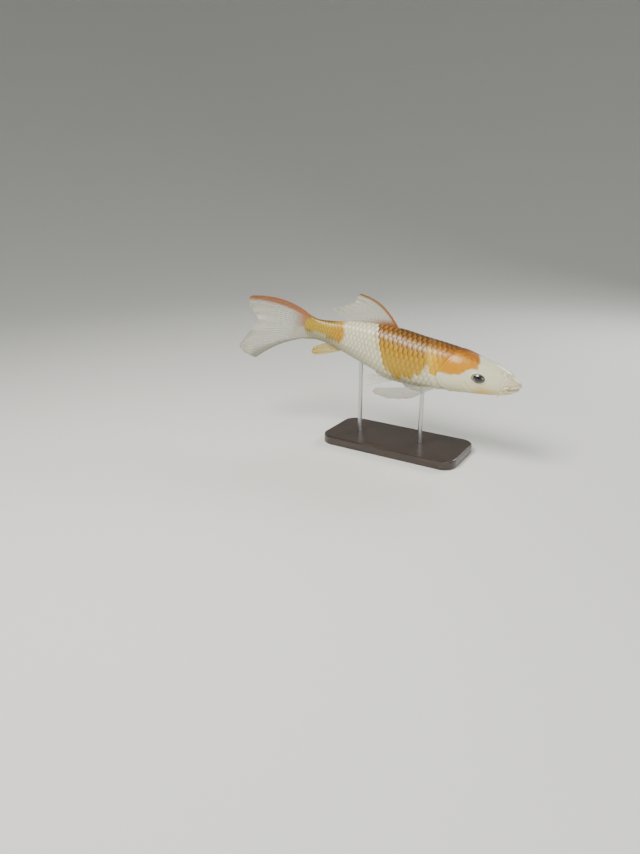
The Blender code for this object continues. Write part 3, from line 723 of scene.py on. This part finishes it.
def scale_places():
    """The share and the row of each scale on a side: rows count from the side line, which is row 0."""
    places = []
    for i, share in enumerate(scale_columns()):
        rows = float(ROWS(share))
        for row in range(-ROW_REACH, ROW_REACH + 1):
            if (i + row) % 2 or abs(row) > rows / 2 + 0.02:
                continue
            way = 0.5 + row / rows
            angle = angle_at(np.array(share), np.array(min(max(way, 0.0), 1.0)))
            up = float(section_offsets(np.array(share), angle)[1])
            bare = (behind_head(share, up) < (GILL_GAP if up < NAPE_UP * LENGTH else NAPE_GAP)
                    or share > LAST_SCALES - LAST_BOW * (2 * way - 1) ** 2
                    or any(a < share < b and low < way < high for a, b, low, high in FIN_ROOTS))
            if not bare:
                places.append((share, row))
    return places


def make_scales(name, places, side, template, sheet, seed):
    """One side's scales, each a copy of the flat one laid on the body with its own small unevenness."""
    bm = bmesh.new()
    for _ in places:
        bm.from_mesh(template)
    count = len(template.vertices)
    flat = np.array([v.co for v in bm.verts])
    u, v, wall = flat[:, 0], flat[:, 1], flat[:, 2] < -0.5
    which = np.arange(len(flat)) // count
    longer, aside, steeper, _ = np.random.default_rng(seed).uniform(-1, 1, (len(places), 4))[which].T
    middle, row = (np.array(column, float)[which] for column in zip(*places))
    step = half_girth(middle) / ROWS(middle) * SPACING
    size = step / SCALE_STEP
    round_edge = np.sqrt(np.maximum(1 - np.abs(u) ** 2.3, 0))
    along = -SCALE_BACK + v * (SCALE_BACK + SCALE_FRONT * round_edge * (1 + UNEVEN_LENGTH * longer))
    share = middle + along * step / LENGTH
    way = 0.5 + (row + u * SCALE_HALF + UNEVEN_PLACE * aside) / ROWS(share)
    lift = RISE * size * (along + SCALE_BACK) * (1 + UNEVEN_RISE * steeper)
    lift += size * (-SIDES_DOWN * u * u - END_DOWN * v ** 8 + SWELL * np.sin(math.pi * v))
    lift -= np.where(wall, np.minimum(WALL * size, RISE * size * (along + SCALE_BACK)), 0)
    crown = ramp(0.10, 0.02, np.minimum(way, 1 - way)) * BACK_SWELL
    spot = on_section(share, side * angle_at(share, way), -COAT_DEPTH - ROOT_DEPTH + lift + crown)
    reshape(bm, lambda _: in_frame(spot))
    piece = finish_mesh(bm, name, sheet, "skin_gold", sharp=50)
    mesh = piece.data
    index = loop_vertices(mesh)
    root_way = np.clip(0.5 + row / ROWS(middle), 0, 1)
    write_vectors(mesh, "place", np.stack([middle, root_way, np.sin(angle_at(middle, root_way)) * side], 1))
    write_uv(mesh, "scale", np.stack([u / 2 + 0.5, np.where(wall, v + 0.02, v)], 1)[index])
    spread = np.where(wall, WALL_OUT, 1.0)
    patch = unrolled(middle + (v - 0.5) * spread * step * PATCH_ALONG / LENGTH,
                     0.5 + (row + u * spread * PATCH_HALF) / ROWS(middle))
    write_uv(mesh, "OFBake", patch[index])


# ---------------------------------------------------------------- fins
FORKS = ((0.42, 0.87, 0.25), (0.74, 1.0, 0.12))  # where each ray parts in two, and again, and how far
FIN_MARGIN, FRAY = 0.994, 0.022  # the fins end just inside the solids' tips, by up to this much more
RAY_RIDGE = 0.00022
# Each fin's number of rays, and its mesh's segments across and along them; the paired ones by their form.
DORSAL_MESH, ANAL_MESH, TAIL_MESH = (20, 160, 34), (8, 72, 30), (22, 220, 48)
PAIRED_FINS = (("pectoral", PECTORAL, (15, 120, 36)), ("pelvic", PELVIC, (9, 84, 28)))
MEDIAN_THICK, PAIRED_THICK, EDGE_THICK = 0.0022, 0.0018, 0.0005
DROOP, CUPPING = (-0.075, -0.036, -0.030), 0.05  # of the paired fins, in shares of their length
WEB, RAY, PALE_RAY = (0.50, 0.49, 0.40), (0.58, 0.55, 0.40), (0.70, 0.67, 0.52)
GOLD_WEB, GOLD_RAY = (0.56, 0.42, 0.05), (0.58, 0.40, 0.03)
# The third colour on the next line is the grey of the tail fin's smoky edges and ends, and painted shade at
# its root.
FIN_ORANGE, FIN_OLIVE, FIN_SMOKE_AND_SHADE = (0.27, 0.078, 0.006), (0.23, 0.120, 0.014), (0.13, 0.115, 0.075)


def ray_lines(u, v, rays):
    """How far u is from the nearest ray's middle, in ray spacings."""
    gap = np.abs(u * rays % 1 - 0.5)
    for start, end, apart in FORKS:
        gap = np.abs(gap - apart * ramp(start, end, v))
    return gap


def fin_sheet(name, rays, web, ray, tinted, web_alpha, ray_alpha, fleshy=(0.04, 0.18)):
    """A fin: stiff jointed rays in a thin web, which is dense flesh as far as the first share of its
    length and clear from the second. tinted(sheet, u, v) gives a tint's cover and its colour."""
    sheet = Sheet(name, Roughness=0.38, Coat_Weight=0.25, Coat_Roughness=0.15)
    u, v = sheet.flat("rays")
    gap = abs((u * float(rays)).fraction() - 0.5)
    for start, end, apart in FORKS:
        gap = abs(gap - sheet.step(start, end, v) * apart)
    width = 0.20 - v * 0.13
    line = sheet.step(width + 0.05, width * 0.5, gap)
    joints = sheet.step(0.80, 0.98, abs((v * 120.0).sine()))
    mottle = sheet.noise(sheet.spot(), 300, 3)
    cover, tint = tinted(sheet, u, v)
    colour = sheet.mix(web, ray, line)
    colour = sheet.mix(colour, EDGE_BROWN, sheet.step(0.0, 0.5, gap - width) * 0.3)
    colour = sheet.mix(colour, tint, cover)
    colour = sheet.mix(colour, EDGE_BROWN, joints * line * sheet.step(0.2, 0.5, v) * 0.15)
    root = sheet.step(fleshy[1], fleshy[0], v)
    dense = ((line * 0.9 + mottle * 0.25) | cover * 0.85).clamped()
    alpha = dense * (ray_alpha - web_alpha) + web_alpha | cover * 0.9 | root
    sheet.drive(Base_Color=colour, Alpha=alpha, Normal=sheet.bump(line, 0.0002, 0.6))
    return sheet


def make_fin(name, mesh, place, thickness, sheet, slot, node):
    """A closed thin plate with raised rays and a slightly frayed margin. place(u, v) gives its middle."""
    rays, across, along = mesh
    bm = bmesh.new()
    bmesh.ops.create_grid(bm, x_segments=across, y_segments=along, size=1)
    both = bmesh.ops.extrude_face_region(bm, geom=bm.faces[:], use_keep_orig=True)
    bm.verts.index_update()
    other = {vert.index for vert in both["geom"] if isinstance(vert, bmesh.types.BMVert)}
    flat = np.array([vert.co for vert in bm.verts])
    u, v = (flat[:, 0] + 1) / 2, (flat[:, 1] + 1) / 2
    face = np.ones(len(flat))
    face[list(other)] = -1
    line = 1 - ramp(0.06, 0.24 - 0.12 * v, ray_lines(u, v, rays))
    slit = 1 - ramp(0.0, 0.10, 0.5 - np.abs(u * rays % 1 - 0.5))
    uneven = 0.35 * (1 - line) + 0.65 * slit + 0.5 * np.sin(u * 23 + 1.3) * np.sin(u * 9)
    length_share = v * (FIN_MARGIN - FRAY * uneven * v ** 6)
    reach = 1e-3
    spot = place(u, length_share)
    step_u = place(np.minimum(u + reach, 1), length_share) - place(np.maximum(u - reach, 0), length_share)
    step_v = place(u, length_share + reach) - place(u, length_share - reach)
    normal = np.cross(step_u, step_v)
    normal /= np.maximum(np.linalg.norm(normal, axis=1), 1e-12)[:, None]
    ridge = RAY_RIDGE * line * (1 - 0.55 * v) * ramp(0, 0.02, u) * ramp(1, 0.98, u)
    spot = spot + normal * (face * (thickness(u, v) / 2 + ridge))[:, None]
    reshape(bm, lambda _: in_frame(spot))
    bmesh.ops.recalc_face_normals(bm, faces=bm.faces)
    piece = finish_mesh(bm, name, sheet, slot, node, sharp=60)
    index = loop_vertices(piece.data)
    write_uv(piece.data, "rays", np.stack([u, v], 1)[index])
    across_map = np.where(face > 0, 0.0, 0.5) + MAP_EDGE + (0.5 - 2 * MAP_EDGE) * v  # a half for each face
    write_uv(piece.data, "OFBake", np.stack([in_map(u), across_map], 1)[index])


def median_place(root, tips, rise, hold, wave):
    """The middle of a fin on the fish's middle line: curved rays from its root to its tips."""
    along_line, up_line = (smooth_line([(t[0], t[i]) for t in tips]) for i in (1, 2))
    rise_line = smooth_line(rise)

    def place(u, v):
        start = np.stack(np.broadcast_arrays(*root(u)), -1)
        tip = np.stack([along_line(u), up_line(u)], -1)
        way = np.stack([np.ones_like(u), rise_line(u)], -1)
        way /= np.linalg.norm(way, axis=1)[:, None]
        middle = start + way * (np.linalg.norm(tip - start, axis=1) * hold)[:, None]
        t = v[:, None]
        flat = (start * (1 - t) + middle * t) * (1 - t) + (middle * (1 - t) + tip * t) * t
        return on_spine(flat[:, 0], flat[:, 1] * LENGTH, wave(u, v))

    return place


def paired_place(spec, side):
    """The middle of one of a pair of fins: rays that fan out from the leading one to the trailing one."""
    length = spec["length"] * LENGTH
    (lead_at, lead_round), (trail_at, trail_round) = spec["root"]
    reach = smooth_line(spec["reach"])

    def ray(direction):
        aft, out, up = direction
        vector = np.array((-aft, side * out, up))
        return vector / np.linalg.norm(vector)

    lead, trail = ray(spec["lead"]), ray(spec["trail"])
    turn = math.acos(float(lead @ trail))

    def place(u, v):
        start = on_section(lead_at + u * (trail_at - lead_at),
                           side * math.pi * (lead_round + u * (trail_round - lead_round)), -0.003)
        way = (np.sin((1 - u) * turn)[:, None] * lead + np.sin(u * turn)[:, None] * trail) / math.sin(turn)
        spot = start + way * (reach(u) * length * v)[:, None]
        droop = np.array((DROOP[0], DROOP[1] * side, DROOP[2])) * length
        spot = spot + droop * (v * v * (1 - 0.6 * u))[:, None]
        spot[:, 2] += CUPPING * length * np.sin(math.pi * u) * v + 0.0004 * np.sin(u * 40) * v * v
        return spot

    return place


def tapered(root):
    """A fin's thickness, from its root to its edge and from its first ray to its last."""
    return lambda u, v: EDGE_THICK + (root - EDGE_THICK) * (1 - v) ** 1.6 * (1 - 0.4 * u)


def tail_thickness(u, v):
    """Thick at the root, except at both edges, and soon thin."""
    return 0.0006 + 0.0036 * (1 - v) ** 4 * ramp(0, 0.10, np.minimum(u, 1 - u)) + 0.0008 * (1 - v)


def waved(bow, ripple, waves):
    """Metres that a fin stands out to the left: one slow bow, and the ripple of its rays."""
    return lambda u, v: (bow * np.sin(2 * math.pi * u) + ripple * np.sin(u * waves)) * v * v


def tail_wave(u, v):
    """As waved, with a ripple that dies out towards both edges."""
    return (0.004 * np.sin(2 * math.pi * u)
            + 0.0009 * np.sin(u * 34 + 1) * np.sin(math.pi * u) * v) * v * v


def dorsal_root(u):
    share = DORSAL_ROOT[0] + u * (DORSAL_ROOT[1] - DORSAL_ROOT[0])
    return share, back_line(share) - 0.006


def anal_root(u):
    share = ANAL_ROOT[0] + u * (ANAL_ROOT[1] - ANAL_ROOT[0])
    return share, belly_line(share) + 0.006


def tail_root(u):
    top, low = back_line(TAIL_ROOT) - 0.008, belly_line(TAIL_ROOT) + 0.008
    return np.full_like(u, TAIL_ROOT), top + u * (low - top)


def dorsal_tint(sheet, u, v):
    cover = sheet.step(0.09, 0.03, u) | sheet.step(0.30, 0.05, v) * sheet.step(0.80, 0.15, u) * 0.95
    return cover, sheet.mix(FIN_ORANGE, FIN_OLIVE, sheet.step(0.25, 0.60, v))


def tail_tint(sheet, u, v):
    """Orange along the upper edge and at the upper root, smoky along the lower edge and at the ends, and
    grey painted shade over the rest of the root.
    """
    band = 0.17 - v * 0.11
    upper = sheet.step(band + 0.04, band - 0.02, u) * 0.95
    smoke = sheet.noise(sheet.spot(), 70, 3)
    lower = sheet.step(0.90, 0.985, u + smoke * 0.05) * 0.75
    ends = sheet.step(0.86, 1.0, v + smoke * 0.2) * sheet.step(0.45, 0.75, u) * 0.40
    # Painted shade: the tail fin's root is half covered in grey, except under the orange blush, as if in
    # shadow.
    root = sheet.step(0.46, 0.12, v + smoke * 0.15) * 0.46
    blush = sheet.step(0.44, 0.12, v + smoke * 0.15) * sheet.step(0.72, 0.40, u + smoke * 0.10)
    grey = sheet.step(band + 0.02, band + 0.10, u) * (1.0 - blush * 0.85)
    return upper | lower | ends | root | blush * 0.90, sheet.mix(FIN_ORANGE, FIN_SMOKE_AND_SHADE, grey)


def root_tint(sheet, u, v):
    return sheet.step(0.30, 0.0, v) * 0.3, IVORY


def anal_tint(sheet, u, v):
    return sheet.step(0.30, 0.0, v) * 0.3, FIN_ORANGE


def make_fins():
    dorsal = median_place(dorsal_root, DORSAL_TIPS, DORSAL_RISE, DORSAL_HOLD, waved(0.0015, 0.0006, 38))
    anal = median_place(anal_root, ANAL_TIPS, ANAL_RISE, ANAL_HOLD, waved(0, 0.0006, 14))
    tail = median_place(tail_root, TAIL_TIPS, TAIL_RISE, TAIL_HOLD, tail_wave)
    make_fin("fin_dorsal", DORSAL_MESH, dorsal, tapered(MEDIAN_THICK),
             fin_sheet("dorsal_fin", DORSAL_MESH[0], WEB, RAY, dorsal_tint, 0.16, 0.66),
             "fin_gold", "dorsal_fin")
    make_fin("fin_anal", ANAL_MESH, anal, tapered(MEDIAN_THICK),
             fin_sheet("anal_fin", ANAL_MESH[0], GOLD_WEB, GOLD_RAY, anal_tint, 0.45, 0.85),
             "fin_gold", "anal_fin")
    make_fin("fin_tail", TAIL_MESH, tail, tail_thickness,
             fin_sheet("tail_fin", TAIL_MESH[0], WEB, RAY, tail_tint, 0.18, 0.66, (0.20, 0.44)),
             "fin_clear", "caudal_fin")
    sheets = [fin_sheet(f"{kind}_fin", mesh[0], WEB, PALE_RAY, root_tint, 0.28, 0.80)
              for kind, _, mesh in PAIRED_FINS]
    for side, label in SIDES:
        for (kind, spec, mesh), sheet in zip(PAIRED_FINS, sheets):
            make_fin(f"fin_{kind}_{label}", mesh, paired_place(spec, side), tapered(PAIRED_THICK), sheet,
                     "fin_clear", f"{kind}_fin_{label}")


# ---------------------------------------------------------------- eyes and barbels
EYE_AROUND, EYE_ALONG, GAZE_AHEAD, GAZE_UP = 64, 48, 0.17, 0.06
SILVER, SILVER_SHADE, IRIS_DARK = (0.40, 0.38, 0.27), (0.16, 0.14, 0.09), (0.016, 0.016, 0.017)
PUPIL, PUPIL_RING = (0.004, 0.004, 0.005), (0.20, 0.15, 0.07)
BARBEL_AROUND, BARBEL_ALONG = 16, 30
BARBEL_WAY, BARBEL_BEND = np.array((0, 1.20, -0.22)), np.array((-0.35, -0.75, -0.52))
BARBEL_PALE, BARBEL_TAN = (0.62, 0.52, 0.32), (0.60, 0.40, 0.16)


def eye_sheet():
    """A dark pupil in a thin uneven ring, and a dark iris that is silvery below and towards its rim."""
    sheet = Sheet("eye", Roughness=0.20, Coat_Weight=0.8, Coat_Roughness=0.05)
    off, height = sheet.flat("gaze")
    spot = sheet.spot()
    flecks, waver = sheet.noise(spot, 1300, 3), sheet.noise(spot, 330, 2)
    silver = sheet.mix(SILVER, SILVER_SHADE, sheet.step(-0.25, 0.25, waver))
    low = sheet.step(0.10, -0.45, height + flecks * 0.3)
    iris = sheet.mix(IRIS_DARK, silver, sheet.step(0.0, 0.30, flecks) * 0.35 | low * 0.55)
    iris = sheet.mix(iris, silver, sheet.step(0.205, 0.24, off + flecks * 0.05))
    around = off + waver * 0.012
    gleam = sheet.step(0.118, 0.130, around) * (sheet.step(-0.15, 0.20, waver) * 0.35 + 0.10)
    pupil = sheet.mix(PUPIL, PUPIL_RING, gleam)
    sheet.drive(Base_Color=sheet.mix(pupil, iris, sheet.step(0.128, 0.162, around)))
    return sheet


def make_eye(side, label, sheet):
    """An oval ball that looks out and a little ahead."""
    bm = bmesh.new()
    bmesh.ops.create_uvsphere(bm, u_segments=EYE_AROUND, v_segments=EYE_ALONG, radius=EYE_RADIUS)
    ball = np.array([v.co for v in bm.verts]) / EYE_RADIUS
    polar = np.arccos(np.clip(ball[:, 2], -1, 1)) / math.pi  # 0 in the middle of the pupil
    gaze = Vector((GAZE_AHEAD, side, GAZE_UP)).to_track_quat("Z", "Y").to_matrix()
    bmesh.ops.rotate(bm, verts=bm.verts, matrix=gaze)
    centre = np.array((-EYE_PLACE[0] * LENGTH, side * eye_out, EYE_PLACE[1] * LENGTH))
    turned = reshape(bm, lambda points: in_frame(points * EYE_FORM + centre))
    piece = finish_mesh(bm, f"eyeball_{label}", sheet, "eye", f"eye_{label}")
    index = loop_vertices(piece.data)
    write_uv(piece.data, "gaze", np.stack([polar, turned[:, 2] / EYE_RADIUS], 1)[index])


def make_barbel(name, spec, side, sheet, node):
    """A tapering feeler that bows out and down from the lip."""
    share, around = spec["from"]
    start = on_section(np.array([share]), np.array([side * math.pi * around]), -0.001)[0]
    length, outwards = spec["length"] * LENGTH, np.array((1, side, 1))
    bm = bmesh.new()
    bmesh.ops.create_uvsphere(bm, u_segments=BARBEL_AROUND, v_segments=BARBEL_ALONG, radius=1)
    ball = np.array([v.co for v in bm.verts])
    t = (1 - ball[:, 2:]) / 2  # 0 at the lip and 1 at the tip
    bow = (BARBEL_WAY * t + BARBEL_BEND * t * t) * outwards
    way = (BARBEL_WAY + 2 * BARBEL_BEND * t) * outwards
    way /= np.linalg.norm(way, axis=1)[:, None]
    one = np.cross(way, (1.0, 0, 0))
    one /= np.linalg.norm(one, axis=1)[:, None]
    two = np.cross(way, one)
    thick = spec["thick"] * (1 - 0.45 * t) * np.minimum(1, 6 * (1 - t)) ** 0.5
    ring = np.hypot(ball[:, :1], ball[:, 1:2])
    round_ = ball[:, :2] / np.where(ring > 1e-6, ring, 1)
    spot = start + bow * length + (one * round_[:, :1] + two * round_[:, 1:]) * thick
    reshape(bm, lambda _: in_frame(spot))
    bmesh.ops.recalc_face_normals(bm, faces=bm.faces)
    finish_mesh(bm, name, sheet, "skin_white", node)


def barbel_sheet():
    """Pale flesh, mottled tan."""
    sheet = Sheet("barbel_skin", Roughness=0.35, Coat_Weight=0.4, Coat_Roughness=0.12)
    mottle = sheet.noise(sheet.spot(), 500, 3)
    sheet.drive(Base_Color=sheet.mix(BARBEL_PALE, BARBEL_TAN, sheet.step(-0.2, 0.3, mottle)))
    return sheet


# ---------------------------------------------------------------- the stand
WOOD_DARK, WOOD_LIGHT, WOOD_PORE = (0.022, 0.016, 0.013), (0.055, 0.036, 0.026), (0.008, 0.007, 0.006)
STEEL_DARK, STEEL_PALE = (0.50, 0.50, 0.49), (0.66, 0.66, 0.65)


def stand_sheets():
    """Dark wood with its grain along the base, and steel that is brushed round the rods."""
    wood = Sheet("dark_wood", Coat_Weight=0.35, Coat_Roughness=0.18)
    spot = wood.scaled(wood.spot(), (6.0, 60.0, 60.0))
    grain = wood.noise(spot, 4.0, 6, 0.6)
    pores = wood.step(0.12, 0.30, wood.noise(wood.scaled(spot, (3.0, 6.0, 6.0)), 8.0, 2))
    colour = wood.mix(WOOD_DARK, WOOD_LIGHT, wood.step(-0.25, 0.25, grain))
    wood.drive(Base_Color=wood.mix(colour, WOOD_PORE, pores * 0.7),
               Roughness=grain * 0.12 + 0.34, Normal=wood.bump(grain - pores * 0.5, 0.0002, 0.4))
    steel = Sheet("brushed_steel", Metallic=1.0)
    drawn = steel.noise(steel.scaled(steel.spot(), (900.0, 900.0, 60.0)), 1.0, 4)
    steel.drive(Base_Color=steel.mix(STEEL_DARK, STEEL_PALE, drawn + 0.5),
                Roughness=drawn * 0.18 + 0.30, Normal=steel.bump(drawn, 0.00004, 0.5))
    return wood, steel


def dress_stand():
    """Gives the stand's own solids their materials, as they are shown themselves."""
    wood, steel = stand_sheets()
    for node, sheet in (("stand_base", wood), ("stand_rod_front", steel), ("stand_rod_rear", steel)):
        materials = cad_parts[node].data.materials
        materials.clear()
        materials.append(sheet.material)


# ---------------------------------------------------------------- building the fish
make_skin(skin_sheet())
coat, tile, places = scale_sheet(), scale_template(), scale_places()
for (side, label), seed in zip(SIDES, SEEDS):
    make_scales(f"scales_{label}", places, side, tile, coat, seed)
make_fins()
eyes, feelers = eye_sheet(), barbel_sheet()
for side, label in SIDES:
    make_eye(side, label, eyes)
    make_barbel(f"barbel_back_{label}", BARBEL_REAR, side, feelers, f"barbel_rear_{label}")
    make_barbel(f"barbel_fore_{label}", BARBEL_FRONT, side, feelers, f"barbel_front_{label}")
dress_stand()


# ---------------------------------------------------------------- camera, floor and light
FISH_MIDDLE = 0.5  # share of the fish that the camera's place is reckoned from
VIEW_TURN, VIEW_DOWN, VIEW_DISTANCE = math.radians(24), math.radians(20.8), 0.8312
VIEW_RIGHT, VIEW_UP = 0.13573, 0.11872  # slopes at which that share is seen, right of and above the axis
LENS, SENSOR, NEAREST, FARTHEST = 27.021, 36.0, 0.05, 30
FLOOR_HALF, FLOOR_CELLS, FLOOR_FLAT, FLOOR_RISE = 6.0, 120, 1.2, 0.22
FLOOR_PALE, SKY, SKY_STRENGTH = (0.78, 0.78, 0.74), (0.92, 0.94, 0.96), 0.30
# Each lamp's place, size, watts and tone.
LAMPS = {"key": ((-0.15, -0.65, 1.00), 0.55, 17.0, (1.0, 0.98, 0.94)),
         "fill": ((0.95, -0.75, 0.40), 0.8, 4.5, (0.96, 0.98, 1.0)),
         "rim": ((0.5, 0.95, 0.75), 0.5, 9.0, (1.0, 1.0, 1.0))}


def place_camera():
    """Sets the camera so that the fish's middle is seen in its place, and gives that middle."""
    forward = math.cos(VIEW_DOWN) + VIEW_UP * math.sin(VIEW_DOWN)
    swing = math.atan2(VIEW_RIGHT, forward)
    flat = Vector((-math.sin(VIEW_TURN), math.cos(VIEW_TURN), 0))
    flat.rotate(Matrix.Rotation(swing, 3, "Z"))
    across = flat.cross(Vector((0, 0, 1)))
    ahead = flat * math.cos(VIEW_DOWN) - Vector((0, 0, 1)) * math.sin(VIEW_DOWN)
    above = across.cross(ahead)
    ray = (ahead + above * VIEW_UP + across * VIEW_RIGHT).normalized()
    middle = Vector(in_frame(on_spine(np.array(FISH_MIDDLE), np.array(0.0))))
    lens = bpy.data.cameras.new("camera")
    lens.sensor_width, lens.lens = SENSOR, LENS
    lens.clip_start, lens.clip_end = NEAREST, FARTHEST
    camera = bpy.data.objects.new("camera", lens)
    bpy.context.scene.collection.objects.link(camera)
    camera.location = middle - ray * VIEW_DISTANCE
    camera.rotation_mode = "QUATERNION"
    camera.rotation_quaternion = Matrix((across, above, -ahead)).transposed().to_quaternion()
    bpy.context.scene.camera = camera
    return middle


def make_backdrop():
    """A pale floor that sweeps up all round the model, far away."""
    bm = bmesh.new()
    bmesh.ops.create_grid(bm, x_segments=FLOOR_CELLS, y_segments=FLOOR_CELLS, size=FLOOR_HALF)

    def sweep(points):
        away = np.maximum(np.hypot(points[:, 0], points[:, 1]) - FLOOR_FLAT, 0)
        return np.column_stack([points[:, :2], FLOOR_RISE * away ** 2])

    reshape(bm, sweep)
    mesh = bpy.data.meshes.new("floor")
    bm.to_mesh(mesh)
    bm.free()
    mesh.shade_smooth()
    pale = Sheet("pale_paper", Roughness=0.8)
    pale.drive(Base_Color=FLOOR_PALE)
    mesh.materials.append(pale.material)
    floor = bpy.data.objects.new("floor", mesh)
    bpy.context.scene.collection.objects.link(floor)


def add_lamp(name, target, spot, size, watts, tone):
    """A round soft light at the spot, turned to the target."""
    lamp = bpy.data.lights.new(name, "AREA")
    lamp.shape, lamp.size, lamp.energy, lamp.color = "DISK", size, watts, tone
    light = bpy.data.objects.new(name, lamp)
    bpy.context.scene.collection.objects.link(light)
    light.location = spot
    light.rotation_mode = "QUATERNION"
    light.rotation_quaternion = (Vector(spot) - target).to_track_quat("Z", "Y")


def make_sky():
    """An even pale light from all round."""
    world = bpy.data.worlds.new("studio")
    world.use_nodes = True
    sky = world.node_tree.nodes["Background"]
    sky.inputs["Color"].default_value = (*SKY, 1)
    sky.inputs["Strength"].default_value = SKY_STRENGTH
    bpy.context.scene.world = world


aim = place_camera()
make_backdrop()
for name, lamp in LAMPS.items():
    add_lamp(name, aim, *lamp)
make_sky()
